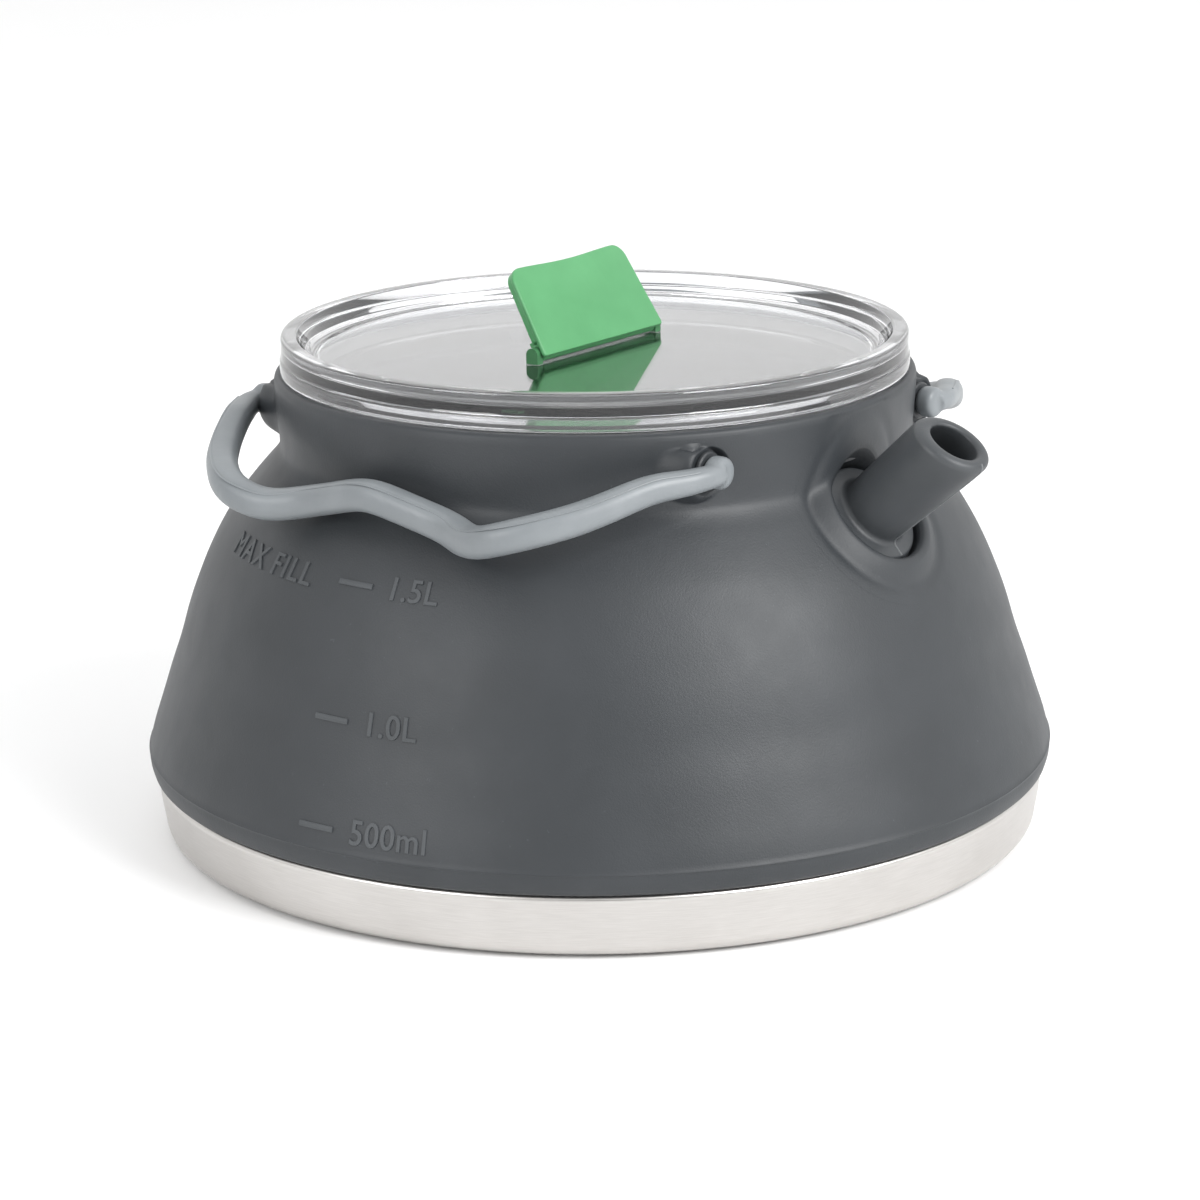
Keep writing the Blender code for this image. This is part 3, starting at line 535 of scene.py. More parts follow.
def sunk(level, bare, floor, reach, edge, far, height):
    """The skin's own height: just under a patch, and well under the seat inside its edge."""
    level = np.minimum(level, bare)
    covered = 1.0 - smooth((reach - far + 0.0020) / 0.0012)
    covered = covered * (1.0 - smooth((height - PATCH_TOP + 0.0025) / 0.0015))
    level = level - PATCH_COVER * covered
    rim = smooth((height - RIM_START - 0.0006) / 0.0010)
    share = np.maximum(smooth((reach - edge) / 0.0008), rim)
    return floor + (level - floor) * share


def spout_place(points):
    """Reach of points from the spout's axis, their place along it, and which are on its side."""
    local = points - SPOUT_SEAT
    reach = np.hypot(local @ SPOUT_OUT, local @ SPOUT_ACROSS)
    along = local @ SPOUT_ALONG
    return reach, along, (along > SPOUT_SIDE) & (points[:, 0] > 0.0)


def shape_boss(points):
    """Draw the wall round the spout to the collar's outline, along the spout's own axis."""
    reach, along, facing = spout_place(points)
    near = (reach < BOSS_FAR) & facing
    level = sunk(boss_level(reach, along), along, BOSS_FLOOR, reach, BOSS_EDGE + 0.0007,
                 BOSS_FAR, points[:, 2])
    moved = points + (level - along)[:, None] * SPOUT_ALONG
    return np.where(near[:, None], moved, points)


def shape_inner(points):
    """Keep the wall's inner skin behind the pocket that the spout's flange sits in."""
    reach, along, facing = spout_place(points)
    share = 1.0 - smooth((reach - 0.0128) / 0.0020)
    near = facing & (points[:, 2] < BORE_HEIGHT + 0.0001)
    push = np.minimum(along, BOSS_BACK) - along
    moved = points + (push * share)[:, None] * SPOUT_ALONG
    return np.where(near[:, None], moved, points)


def shape_pads(points):
    """Draw the neck round each hinge to a flat seat that faces along X."""
    for end in (-1.0, 1.0):
        for side in (-1.0, 1.0):
            reach = np.hypot(points[:, 1] - side * HINGE_OFFSET, points[:, 2] - HINGE_HEIGHT)
            near = (reach < PAD_FAR) & (points[:, 0] * end > 0.030)
            bare = points[:, 0] * end
            level = sunk(pad_level(reach, bare, points[:, 2]), bare, HINGE_SEAT - 0.0006, reach,
                         PAD_EDGE + 0.0010, PAD_FAR, points[:, 2])
            moved = points.copy()
            moved[:, 0] = level * end
            points = np.where(near[:, None], moved, points)
    return points


def wall_angles():
    """Angles round the wall, closer together near the spout and the hinges."""
    spans = ((-50.0, 50.0, 0.55), (50.0, 130.0, 1.25), (130.0, 230.0, 0.8), (230.0, 310.0, 1.25))
    return np.radians(np.concatenate([np.arange(*span) for span in spans]))


def wall_heights():
    """Heights of the wall's rows from its foot to just under its rounded top."""
    return np.concatenate((np.arange(WALL_FOOT + 0.0008, 0.0170, 0.0008),
                           (0.0172, 0.01745, RIDGE_HEIGHT, 0.01775, 0.0180),
                           np.arange(0.0188, 0.0560, 0.0012),
                           np.arange(0.0562, WALL_TOP - 0.0012, 0.00075)))


def wall_skin(height):
    """The wall's outer radius with the moulding's fine ridge and its slow ripples."""
    ridge = 0.00024 * np.exp(-((height - RIDGE_HEIGHT) / 0.00020) ** 2)
    window = smooth((height - 0.024) / 0.010) * (1.0 - smooth((height - 0.058) / 0.010))
    ripple = 0.00004 * np.sin((height - 0.030) * 2.0 * math.pi / 0.0125) * window
    return wall_radius(height) + ridge + ripple


def make_wall():
    """The whole silicone wall in one skin: skirt, fold, shoulder and neck."""
    top = float(wall_radius(WALL_TOP))
    crown = arc((top - CROWN, WALL_TOP - CROWN), CROWN, 0.0, 90.0, 6)
    foot = WALL_FOOT + CLEARANCE
    foot_radius = float(wall_radius(foot))
    outside = [(foot_radius - 0.0004, foot), (foot_radius - 0.0001, foot + 0.0002)]
    outside += [(float(wall_skin(h)), float(h)) for h in wall_heights()]
    outside += crown
    inside = [(BORE_RADIUS + 0.0004, WALL_TOP), (BORE_RADIUS, WALL_TOP - 0.0004),
              (BORE_RADIUS, BORE_HEIGHT),
              (float(wall_radius(BORE_HEIGHT)) - SHOULDER_WALL, BORE_HEIGHT)]
    for height in np.arange(BORE_HEIGHT - 0.0010, 0.0268, -0.0018):
        thick = SHOULDER_WALL if height > FOLD_HEAD else FOLD_WALL
        inside.append((float(wall_radius(height)) - thick, float(height)))
    neck = float(wall_radius(WALL_FOOT)) - WALL_LIP - PAN_NECK_INSET + CLEARANCE
    inside += [(float(wall_radius(0.0264)) - 0.0026, 0.0264), (neck - 0.0012, PAN_RIM + CLEARANCE),
               (neck + 0.0009, PAN_RIM + CLEARANCE), (neck + 0.0009, PAN_RIM - 0.0012),
               (neck, PAN_RIM - 0.0021), (neck, foot + 0.0006), (neck + 0.0016, foot)]
    angles = wall_angles()
    vertices, faces = turn_mesh(outside + inside, angles)
    skin = (len(outside) - len(crown)) * len(angles)
    inner = len(outside) * len(angles)
    vertices[:skin] = shape_pads(shape_boss(vertices[:skin]))
    vertices[inner:] = shape_inner(vertices[inner:])
    wall = piece("silicone_wall", vertices, faces, SILICONE, None,
                 ("lower_wall", "fold_wall", "upper_wall"), sharp=60.0)
    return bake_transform(wall)


def wall_along(out, across):
    """Where the bare wall lies along the spout's axis, for points off that axis."""
    low = np.full_like(out, -0.020)
    high = np.full_like(out, 0.020)
    for _ in range(40):
        middle = (low + high) / 2.0
        place = (SPOUT_SEAT + out[:, None] * SPOUT_OUT + across[:, None] * SPOUT_ACROSS
                 + middle[:, None] * SPOUT_ALONG)
        outside = np.hypot(place[:, 0], place[:, 1]) > wall_skin(place[:, 2])
        high = np.where(outside, middle, high)
        low = np.where(outside, low, middle)
    return (low + high) / 2.0


def ring_patch(reaches, steps):
    """Rings of points round a centre and the faces between them."""
    angles = even(steps)
    first = np.concatenate([reach * np.cos(angles) for reach in reaches])
    second = np.concatenate([reach * np.sin(angles) for reach in reaches])
    return first, second, ring_faces(len(reaches), steps)


def below_rim(vertices, faces):
    """Only the faces of a patch with a corner under the rounded rim."""
    return [loop for loop in faces
            if min(vertices[index][2] for index in loop) < PATCH_TOP - 0.00001]


def make_boss():
    """The moulded collar round the spout's flange, and the thick boss inside the wall."""
    reaches = np.concatenate(([BOSS_EDGE] * 4, BOSS_EDGE + np.array((0.00012, 0.00028, 0.0005)),
                              np.arange(BOSS_EDGE + 0.0008, BOSS_FAR, 0.00035)))
    steps = 144
    out, across, faces = ring_patch(reaches, steps)
    reach = np.hypot(out, across)
    bare = wall_along(out, across)
    level = boss_level(reach, bare) + PATCH_LIFT
    for row, depth in enumerate((-0.0026, -0.0014, -0.0004)):
        level[row * steps:(row + 1) * steps] = depth
    vertices = placed(np.stack((out, across, level), 1), SPOUT_SEAT, SPOUT_OUT, SPOUT_ACROSS,
                      SPOUT_ALONG)
    faces = below_rim(vertices, faces)
    piece("spout_boss", vertices, faces, SILICONE, "neck", sharp=60.0)
    bore, radius, front, back = 0.0074, 0.0126, -0.0020, -0.0057
    outline = [(bore, front), (radius, front), (radius, back + 0.0005), (radius - 0.0004, back),
               (bore, back)]
    turned("spout_boss_back", outline, SILICONE, "neck", steps=72,
           frame_axes=(SPOUT_SEAT, SPOUT_OUT, SPOUT_ACROSS, SPOUT_ALONG))


def make_pads():
    """The flat hinge seats, faired into the neck."""
    steps = 72
    reaches = np.concatenate(((0.0033, 0.0039), np.arange(PAD_EDGE, PAD_EDGE + 0.0009, 0.00012),
                              np.arange(PAD_EDGE + 0.0011, PAD_FAR, 0.00030)))
    for end_name, end in (("front", 1.0), ("rear", -1.0)):
        for side_name, side in (("right", -1.0), ("left", 1.0)):
            first, second, faces = ring_patch(reaches, steps)
            across = first + side * HINGE_OFFSET
            height = np.minimum(second + HINGE_HEIGHT, PATCH_TOP)
            reach = np.hypot(first, second)
            bare = np.sqrt(wall_skin(height) ** 2 - across ** 2)
            level = pad_level(reach, bare, height) + PATCH_LIFT
            vertices = np.stack((end * level, across, height), 1)
            loops = below_rim(vertices, faces)
            piece("hinge_pad_%s_%s" % (end_name, side_name), vertices, loops, SILICONE, "neck",
                  sharp=60.0)


# ---------------------------------------------------------------- fill marks

def on_wall(points, azimuth, height, lift):
    """Flat points in metres, wrapped on the wall at an azimuth and a height, and lifted off it."""
    slope = (wall_radius(height + 0.002) - wall_radius(height - 0.002)) / 0.004
    length = math.hypot(1.0, float(slope))
    rise = height + points[:, 1] / length
    radius = wall_skin(rise)
    angle = math.radians(azimuth) + points[:, 0] / float(wall_radius(height))
    out = (points[:, 2] + lift) / length
    lowered = (points[:, 2] + lift) * -float(slope) / length
    return np.stack(((radius + out) * np.cos(angle), (radius + out) * np.sin(angle),
                     rise + lowered), 1)


def raised_words(words, size, spacing):
    """A flat mesh of plain raised characters, centred, in metres."""
    curve = bpy.data.curves.new("words", "FONT")
    curve.body = words
    curve.size = size
    curve.align_x = "CENTER"
    curve.align_y = "CENTER"
    curve.space_character = spacing
    curve.extrude = 0.00018
    curve.bevel_depth = 0.00009
    curve.bevel_resolution = 1
    curve.resolution_u = 4
    item = link("words", curve)
    bpy.context.view_layer.update()
    evaluated = item.evaluated_get(bpy.context.evaluated_depsgraph_get())
    mesh = bpy.data.meshes.new_from_object(evaluated)
    vertices = np.array([v.co for v in mesh.vertices], float).reshape(-1, 3)
    faces = [tuple(p.vertices) for p in mesh.polygons]
    bpy.data.objects.remove(item, do_unlink=True)
    bpy.data.meshes.remove(mesh)
    return vertices, faces


def raised_bar(length, width):
    """A short raised dash with chamfered sides, cut into short lengths."""
    across = np.linspace(-length / 2.0, length / 2.0, 13)
    section = [(-width / 2, -0.0002), (-width / 2, 0.00018), (-width / 3, 0.00028),
               (width / 3, 0.00028), (width / 2, 0.00018), (width / 2, -0.0002)]
    vertices = np.array([(x, y, z) for x in across for y, z in section])
    count = len(section)
    faces = [(row * count + step, (row + 1) * count + step, (row + 1) * count + (step + 1) % count,
              row * count + (step + 1) % count)
             for row in range(len(across) - 1) for step in range(count)]
    faces.append(tuple(range(count)))
    faces.append(tuple((len(across) - 1) * count + step for step in range(count))[::-1])
    return vertices, faces


def fitted_words(words, size, spacing, start, end, height):
    """Raised words on the wall, drawn out to fill the angles between start and end."""
    flat, faces = raised_words(words, size, spacing)
    wide = math.radians(end - start) * float(wall_radius(height))
    flat[:, 0] *= wide / (flat[:, 0].max() - flat[:, 0].min())
    return on_wall(flat, (start + end) / 2.0 - PHOTO_AZIMUTH, height, PATCH_LIFT), faces


def make_marks():
    """Raised fill marks and plain words on the right side, in a lighter copy of the wall's silicone:
    painted highlight for the light the raised marks catch.
    """
    for name, height, body, (start, end), figures, words, size in (
            ("upper", 0.0655, "neck", (-40.6, -34.4), (-31.4, -23.8), "1.5L", 0.0066),
            ("middle", 0.0414, None, (-39.0, -33.8), (-31.0, -24.0), "1.0L", 0.0066),
            ("lower", 0.0217, "base", (-38.4, -33.4), (-30.8, -20.8), "500ml", 0.0068)):
        length = math.radians(end - start) * float(wall_radius(height))
        bar, bar_faces = raised_bar(length, 0.0011)
        bar = on_wall(bar, (start + end) / 2.0 - PHOTO_AZIMUTH, height, PATCH_LIFT)
        vertices, faces = joined((bar, bar_faces),
                                 fitted_words(words, size, 1.05, *figures, height))
        mark = piece("fill_mark_" + name, vertices, faces, PAINTED_LIGHT_MARKING, body,
                     sharp=30.0)
        if body is None:
            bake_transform(mark)
    vertices, faces = fitted_words("MAX FILL", 0.0066, 1.15, -70.5, -46.5, 0.0650)
    piece("fill_mark_words", vertices, faces, PAINTED_LIGHT_MARKING, "neck", sharp=30.0)


# ---------------------------------------------------------------- spout

def make_spout():
    """The tube: round flange, widening barrel and a thick rolled lip, cut on a slant."""
    root, tip_radius, bore, flange = 0.0071, 0.0078, 0.0049, 0.01065
    tip, lip, fillet, corner = 0.0252, 0.0018, 0.0012, 0.0007
    inner_end, flange_back = -0.0118, -0.0022
    slant = math.tan(math.radians(17.0))

    def barrel_side(fillet_steps, lip_end, lip_steps):
        """The outline from the flange's face up the barrel and over the lip."""
        rows = arc((root + fillet, fillet), fillet, 270.0, 180.0, fillet_steps)
        rows += [(root + 0.00005 * step, fillet + (tip - 4.2 * lip - fillet) * step / 12.0)
                 for step in range(1, 13)]
        rows += [(tip_radius - 0.00004, tip - 3 * lip), (tip_radius, tip - 2 * lip)]
        return rows + arc((tip_radius - lip, tip - lip), lip, 0.0, lip_end, lip_steps)

    def slanted(points):
        """Points set in the frame, with the tube's far end cut on the slant."""
        share = np.clip((points[:, 2] - 4 * fillet) / (tip - 4 * fillet), 0.0, 1.0)
        points[:, 2] += slant * points[:, 0] * share
        return placed(points, SPOUT_SEAT, SPOUT_OUT, SPOUT_ACROSS, SPOUT_ALONG)

    outline = [(bore, inner_end + 0.0003), (bore + 0.0004, inner_end), (root - 0.0004, inner_end),
               (root, inner_end + 0.0004), (root, flange_back), (flange - 0.0002, flange_back),
               (flange, flange_back + 0.0002)]
    outline += arc((flange - corner, -corner), corner, 0.0, 90.0, 6)
    outline += barrel_side(8, 90.0, 12)
    outline += arc((bore + lip / 2, tip - lip / 2), lip / 2, 90.0, 180.0, 6)
    outline += [(bore, tip - 0.0030 - 0.0046 * step) for step in range(7)]
    vertices, faces = turn_mesh(outline, even(96))
    piece("spout_tube", slanted(vertices), faces, SPOUT_NYLON, "neck", ("spout",),
          sharp=50.0)

    # The parting line along the tube's underside, in the lighter seam plastic: a painted highlight
    # along its ridge.
    rows = np.array([(0.0104, 0.0), (0.0092, 0.0)] + barrel_side(5, 70.0, 6))
    route = slanted(np.stack((rows[:, 0], np.zeros(len(rows)), rows[:, 1]), 1))
    outward = np.cross(unit(np.gradient(route, axis=0)), SPOUT_ACROSS)
    seam = np.concatenate([route + outward * lift + SPOUT_ACROSS * wide for lift, wide in
                           ((0.0001, -0.00028), (-0.00016, -0.0001), (-0.00016, 0.0001),
                            (0.0001, 0.00028))])
    count = len(route)
    faces = [(line * count + step, line * count + step + 1, (line + 1) * count + step + 1,
              (line + 1) * count + step) for line in range(3) for step in range(count - 1)]
    piece("spout_seam", seam, faces, SPOUT_SEAM_HIGHLIGHT, "neck")


# ---------------------------------------------------------------- handles

HANDLE_WIDTH = 0.0066
HANDLE_DEPTH = 0.0063
HANDLE_DROP = 0.0104
HANDLE_REACH = float(wall_radius(HINGE_HEIGHT - HANDLE_DROP)) + 0.0089 - HINGE_OFFSET
HANDLE_ROWS = np.array((
    (0.000, 0.896, 0.508, 1.00), (0.128, 0.875, 0.663, 1.00), (0.183, 0.862, 0.746, 1.00),
    (0.316, 0.843, 0.935, 1.00), (0.445, 0.925, 1.035, 1.00), (0.590, 0.944, 0.810, 1.00),
    (0.727, 0.779, 0.583, 0.97), (0.791, 0.656, 0.437, 0.94), (0.841, 0.540, 0.284, 0.91),
    (0.900, 0.378, 0.097, 0.87), (0.955, 0.235, 0.060, 0.80), (0.991, 0.120, 0.015, 0.72),
    (1.000, 0.020, 0.000, 0.66)))
EYE_RADIUS = 0.0032
EYE_LENGTH = 0.0037
EYE_EDGE = 0.0013
PIN_SKIN = 0.0002
HANDLE_HALF_SPAN = EYE_FACE + EYE_RADIUS * HANDLE_ROWS[-1, 3] + CLEARANCE
SECTION_STEPS = 28
SEAM_CORNER = 4
SEAM_SINK = 0.985
SEAM_END_ROWS = 14


def handle_route(side, steps):
    """The bar's centre line and fullness, end to end."""
    half = HANDLE_ROWS * (HANDLE_HALF_SPAN, HANDLE_REACH, HANDLE_DROP, 1.0)
    mirrored = half[:0:-1] * (-1.0, 1.0, 1.0, 1.0)
    rows = curve_through(np.concatenate((mirrored, half)), steps)
    for _ in range(10):
        rows[1:-1] = (rows[:-2] + 2.0 * rows[1:-1] + rows[2:]) / 4.0
    route = np.stack((rows[:, 0], side * (HINGE_OFFSET + rows[:, 1]), HINGE_HEIGHT - rows[:, 2]), 1)
    return route, rows[:, 3]


def bar_section(width, depth, count, power=2.5):
    """A rounded oblong, fuller than an ellipse."""
    angles = even(count)
    cosines, sines = np.cos(angles), np.sin(angles)
    return np.stack((width / 2 * np.sign(cosines) * np.abs(cosines) ** (2 / power),
                     depth / 2 * np.sign(sines) * np.abs(sines) ** (2 / power)), 1)


def make_handle(name, side, body, node):
    """A waved bar whose ends turn in and swell into round eyes, each with its pin."""
    route, fullness = handle_route(side, 7)
    section = bar_section(HANDLE_WIDTH, HANDLE_DEPTH, SECTION_STEPS)
    parts = [sweep(route, section, fullness)]
    pin_end = math.sqrt((BORE_RADIUS - RING_SHEET) ** 2 - HINGE_OFFSET ** 2) + RING_SHEET - 0.0012
    outline = [(0.0, EYE_LENGTH)]
    outline += arc((EYE_RADIUS - EYE_EDGE, EYE_LENGTH - EYE_EDGE), EYE_EDGE, 90.0, 0.0, 6)
    outline += arc((EYE_RADIUS - EYE_EDGE / 2, EYE_EDGE / 2), EYE_EDGE / 2, 0.0, -90.0, 3)
    outline += [(PIN_RADIUS + PIN_SKIN, 0.0), (PIN_RADIUS + PIN_SKIN, pin_end - EYE_FACE),
                (0.0, pin_end - EYE_FACE)]
    for end in (-1.0, 1.0):
        vertices, faces = turn_mesh(outline, even(40), closed=False)
        vertices = placed(vertices, (end * EYE_FACE, side * HINGE_OFFSET, HINGE_HEIGHT),
                          (0.0, 1.0, 0.0), (0.0, 0.0, 1.0), (end, 0.0, 0.0))
        parts.append((vertices, faces))
    vertices, faces = joined(*parts)
    rough = piece(name + "_rough", vertices, faces, HANDLE_NYLON, None, sharp=None)
    remesh = rough.modifiers.new("fuse", "REMESH")
    remesh.mode = "VOXEL"
    remesh.voxel_size = 0.00040
    ease = rough.modifiers.new("ease", "SMOOTH")
    ease.factor = 0.5
    ease.iterations = 6
    bpy.context.view_layer.update()
    evaluated = rough.evaluated_get(bpy.context.evaluated_depsgraph_get())
    mesh = bpy.data.meshes.new_from_object(evaluated)
    mesh.name = name
    bpy.data.objects.remove(rough, do_unlink=True)
    mesh.materials.clear()
    mesh.materials.append(HANDLE_NYLON)
    mesh.shade_smooth()
    item = link(name, mesh)
    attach(item, body)
    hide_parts(node)

    fine, full = handle_route(side, 10)
    across, up = route_frame(fine)
    outward = np.sign(np.sum(across * (fine * (1.0, 1.0, 0.0)), axis=1))[:, None]
    wide, high = np.abs(section[SEAM_CORNER])
    line = fine + full[:, None] * SEAM_SINK * (wide * outward * across + high * up)
    line = line[SEAM_END_ROWS:-SEAM_END_ROWS]
    thread = np.array([(0.00022 * math.cos(a), 0.00016 * math.sin(a)) for a in even(8)])
    seam, seam_faces = sweep(line, thread, np.ones(len(line)))
    piece(name + "_seam", seam, seam_faces, HANDLE_NYLON, body)


# ---------------------------------------------------------------- lid and tab

TRAY_RADIUS = 0.0560
BEND_RADIUS = 0.0024
LUG_RADIUS = 0.00145
LUG_ROOT = 0.0004
LUG_COVER = 0.00015
EDGE_START = 0.0564
TAB_FACE = (0.00155, 0.0025)
TAB_REAR = (0.0002, 0.0017)
TAB_DIP = 0.00048
BARREL_RADIUS = 0.00165
BARREL_BEVEL = 0.0002


def make_lid():
    """The clear lid: glossy sunk disc, sloped tray wall, flat rim, stepped side and skirt."""
    radius = float(wall_radius(WALL_TOP)) - 0.0012
    skirt = BORE_RADIUS - RING_SHEET - 3 * CLEARANCE - 0.0019
    foot = LID_UNDERSIDE - 0.0055
    under = TRAY_HEIGHT - 0.0022
    outline = [(0.0, TRAY_HEIGHT), (0.030, TRAY_HEIGHT), (TRAY_RADIUS, TRAY_HEIGHT)]
    outline += arc((0.0566, TRAY_HEIGHT + BEND_RADIUS), BEND_RADIUS, -88.0, -30.0, 7)
    outline += [(0.0606, LID_TOP - 0.0007)]
    outline += arc((0.0612, LID_TOP - 0.0005), 0.0005, 150.0, 90.0, 4)
    outline += arc((radius - 0.0009, LID_TOP - 0.0006), 0.0006, 90.0, 0.0, 5)
    outline += [(radius - 0.0003, 0.0990), (radius - 0.0001, 0.0984)]
    outline += arc((radius - 0.0004, 0.0979), 0.0004, 60.0, 0.0, 3)
    outline += [(radius, 0.0966), (radius, LID_UNDERSIDE + 0.0006)]
    outline += arc((radius - 0.0004, LID_UNDERSIDE + 0.0004), 0.0004, 0.0, -90.0, 4)
    outline += [(skirt + 0.0006, LID_UNDERSIDE), (skirt, LID_UNDERSIDE - 0.0004),
                (skirt, foot + 0.0008), (skirt + 0.0004, foot + 0.0004), (skirt + 0.0002, foot),
                (skirt - 0.0014, foot), (skirt - 0.0016, foot + 0.0002),
                (skirt - 0.0016, under - 0.0008), (skirt - 0.0022, under), (0.030, under),
                (0.0, under)]
    parts = [turn_mesh(outline, even(256), closed=False)]
    middle = TAB_HALF - TAB_GAP - LUG_HALF
    for side in (-1.0, 1.0):
        profile = [(-LUG_RADIUS, TRAY_HEIGHT - LUG_ROOT), (LUG_RADIUS, TRAY_HEIGHT - LUG_ROOT)]
        profile += arc((0.0, AXIS_HEIGHT), LUG_RADIUS, 0.0, 180.0, 16)
        low, high = side * (middle - LUG_HALF), side * (middle + LUG_HALF + LUG_COVER)
        points = [(x, y, z) for y in (low, high) for x, z in profile]
        count = len(profile)
        loops = [(step, (step + 1) % count, count + (step + 1) % count, count + step)
                 for step in range(count)]
        loops += [tuple(range(count))[::-1], tuple(range(count, 2 * count))]
        parts.append((np.array(points), loops))
    vertices, faces = joined(*parts)
    lid = piece("clear_lid", vertices, faces, CLEAR, "lid_part", ("lid",), sharp=32.0)
    lid.data.materials.append(EDGE)
    lid.data.materials.append(LUG)
    for face in lid.data.polygons:
        reach = math.hypot(face.center.x, face.center.y)
        on_lug = face.center.z > TRAY_HEIGHT + 0.0001
        face.material_index = 1 if reach > EDGE_START else 2 * on_lug


def plate(outline, back, front, bevel):
    """Vertices and faces of a flat plate across X, its edges rounded."""
    shape = bmesh.new()
    rim = [shape.verts.new((back, across, rise)) for across, rise in outline]
    face = shape.faces.new(rim)
    grown = bmesh.ops.extrude_face_region(shape, geom=[face])
    moved = [part for part in grown["geom"] if isinstance(part, bmesh.types.BMVert)]
    bmesh.ops.translate(shape, verts=moved, vec=(front - back, 0.0, 0.0))
    bmesh.ops.recalc_face_normals(shape, faces=shape.faces)
    edges = [edge for edge in shape.edges if edge.calc_face_angle(0.0) > math.radians(50.0)]
    bmesh.ops.bevel(shape, geom=edges, offset=bevel, segments=4, profile=0.5, affect="EDGES")
    shape.verts.ensure_lookup_table()
    shape.verts.index_update()
    result = (np.array([v.co for v in shape.verts]),
              [tuple(v.index for v in f.verts) for f in shape.faces])
    shape.free()
    return result


def tab_outline(foot_half, head_half, low, high, corner, small):
    """The tab's face: slightly narrower at its top, which dips between its round corners."""
    outline = arc((head_half - corner, high - corner), corner, 0.0, 90.0, 12)
    reach = head_half - corner
    outline += [(across, high - TAB_DIP * (1.0 - (across / reach) ** 2) ** 2)
                for across in np.linspace(reach, -reach, 25)[1:-1]]
    outline += arc((-head_half + corner, high - corner), corner, 90.0, 180.0, 12)
    outline += arc((-foot_half + small, low + small), small, 180.0, 270.0, 4)
    outline += arc((foot_half - small, low + small), small, 270.0, 360.0, 4)
    return outline


def make_tab():
    """The green folding tab: a face plate over a back plate, and a hinge barrel at its foot."""
    face = plate(tab_outline(0.0198, 0.0187, -0.0014, 0.0177, 0.0033, 0.0007), *TAB_FACE, 0.00032)
    rear = plate(tab_outline(0.0194, 0.0184, 0.0019, 0.0174, 0.0031, 0.0007), *TAB_REAR, 0.00035)
    span = TAB_HALF - TAB_GAP - 2 * LUG_HALF - CLEARANCE
    inset = BARREL_RADIUS - BARREL_BEVEL
    barrel, barrel_faces = turn_mesh(
        [(0.0, span), (inset, span), (BARREL_RADIUS, span - BARREL_BEVEL),
         (BARREL_RADIUS, -span + BARREL_BEVEL), (inset, -span), (0.0, -span)],
        even(40), closed=False)
    barrel = barrel[:, (0, 2, 1)]
    web = np.array([(x, y, z) for x in (-0.0009, 0.0020) for y in (-span, span)
                    for z in (-0.0004, 0.0026)])
    web_faces = [(0, 1, 3, 2), (4, 6, 7, 5), (0, 4, 5, 1), (2, 3, 7, 6), (0, 2, 6, 4), (1, 5, 7, 3)]
    vertices, faces = joined(face, rear, (barrel, barrel_faces), (web, web_faces))
    lean = np.array(Matrix.Rotation(-TAB_LEAN, 3, "Y"))
    vertices = vertices @ lean.T + (0.0, 0.0, AXIS_HEIGHT)
    piece("green_tab", vertices, faces, TAB_PLASTIC, "tab_part", ("lid_tab",),
          sharp=40.0)


def dress_nodes():
    """Finishes for the frame's own small pieces that stay in view."""
    finishes = {"mouth_ring": NYLON, "spout_nut": NYLON, "spout_washer": SEAL,
                "lid_gasket": SEAL, "tab_pin": STEEL}
    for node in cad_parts:
        if node.startswith("hinge_bush"):
            finishes[node] = NYLON
    for node, material in finishes.items():
        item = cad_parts[node]
        item.data.materials.clear()
        item.data.materials.append(material)


# ---------------------------------------------------------------- stage

FLOOR_REACH = 12.0
FLOOR_HEIGHT = -0.0006
BRIGHT_SIDE = (-0.5540, 0.7228, 0.4130)
WORLD_RANGE = (("From Min", -0.7), ("From Max", 0.9), ("To Min", 0.50), ("To Max", 1.22))
CAMERA_PLACE = Vector((0.46663536, -0.60813104, 0.2586374))
CAMERA_RIGHT = Vector((0.79571691, 0.60554187, -0.01239557))
CAMERA_UP = Vector((-0.15320166, 0.22103187, 0.96315843))
CAMERA_BACK = Vector((0.58597257, -0.76450243, 0.26864881))
FOCAL_PIXELS = 3818.504
PHOTO_PIXELS = 1200.0
SENSOR_WIDTH = 36.0


def make_lamp(name, sideways, towards, height, size, power):
    """A soft square lamp, placed from the camera's side and aimed at the kettle."""
    level_back = Vector((CAMERA_BACK.x, CAMERA_BACK.y, 0.0)).normalized()
    level_right = Vector((CAMERA_RIGHT.x, CAMERA_RIGHT.y, 0.0)).normalized()
    light = bpy.data.lights.new(name, "AREA")
    light.shape = "RECTANGLE"
    light.size = light.size_y = size
    light.energy = power
    item = link(name, light)
    item.location = level_right * sideways + level_back * towards + Vector((0, 0, height))
    aim = Vector((0.0, 0.0, 0.05)) - item.location
    item.rotation_euler = aim.to_track_quat("-Z", "Y").to_euler()


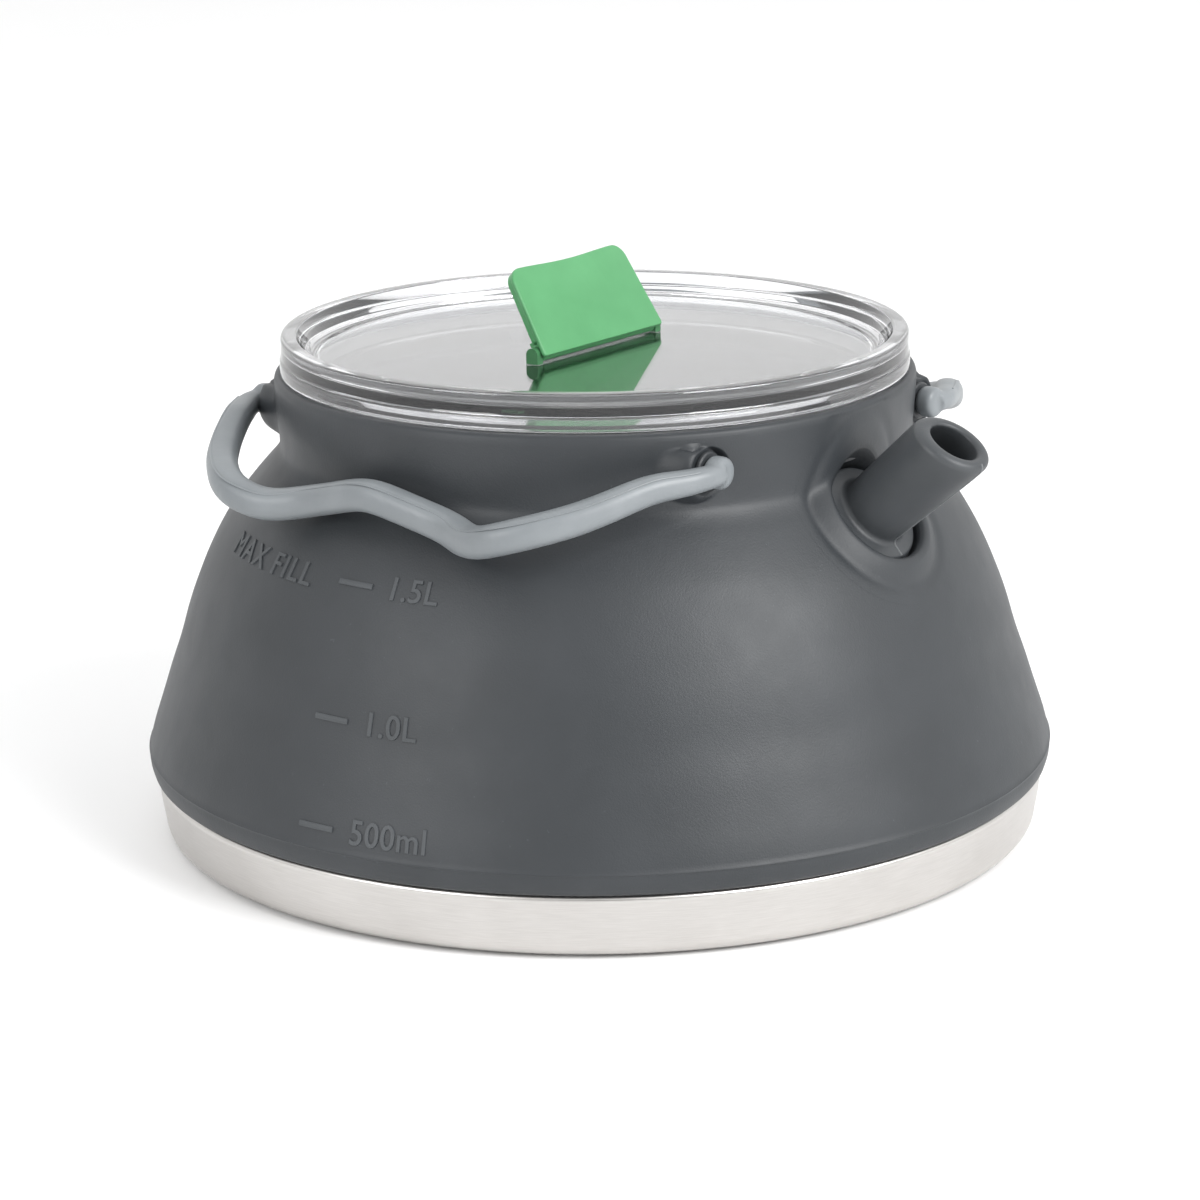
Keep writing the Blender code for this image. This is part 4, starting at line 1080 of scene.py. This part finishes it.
def make_stage():
    """Pale floor, soft lights and the photograph's camera."""
    mesh = bpy.data.meshes.new("floor")
    corners = ((-1, -1), (1, -1), (1, 1), (-1, 1))
    mesh.from_pydata([(x * FLOOR_REACH, y * FLOOR_REACH, 0.0) for x, y in corners], [],
                     [(0, 1, 2, 3)])
    mesh.materials.append(floor_finish())
    floor = link("floor", mesh)
    floor.location.z = FLOOR_HEIGHT

    world = bpy.data.worlds.new("studio")
    world.use_nodes = True
    tree = world.node_tree
    facing = tree.nodes.new("ShaderNodeVectorMath")
    facing.operation = "DOT_PRODUCT"
    facing.inputs[1].default_value = BRIGHT_SIDE
    tree.links.new(tree.nodes.new("ShaderNodeTexCoord").outputs["Generated"], facing.inputs[0])
    spread = tree.nodes.new("ShaderNodeMapRange")
    spread.interpolation_type = "SMOOTHSTEP"
    for name, value in WORLD_RANGE:
        spread.inputs[name].default_value = value
    tree.links.new(facing.outputs["Value"], spread.inputs["Value"])
    background = tree.nodes["Background"]
    background.inputs["Color"].default_value = (1.0, 1.0, 1.0, 1.0)
    tree.links.new(spread.outputs["Result"], background.inputs["Strength"])
    bpy.context.scene.world = world

    make_lamp("key", 0.95, 0.80, 0.80, 0.80, 22.0)
    make_lamp("fill", -0.95, 0.90, 0.60, 0.60, 7.0)

    camera = bpy.data.cameras.new("camera")
    camera.lens = FOCAL_PIXELS * SENSOR_WIDTH / PHOTO_PIXELS
    camera.sensor_width = SENSOR_WIDTH
    camera.clip_start = 0.01
    item = link("camera", camera)
    turn = Matrix((CAMERA_RIGHT, CAMERA_UP, CAMERA_BACK)).transposed().to_4x4()
    item.matrix_world = Matrix.Translation(CAMERA_PLACE) @ turn
    bpy.context.scene.camera = item
    bpy.context.scene.view_settings.view_transform = "Standard"


make_pan()
make_wall()
make_boss()
make_pads()
make_marks()
make_spout()
make_handle("right_bar", -1.0, "right_handle", "handle_right")
make_handle("left_bar", 1.0, "left_handle", "handle_left")
make_lid()
make_tab()
dress_nodes()
make_stage()
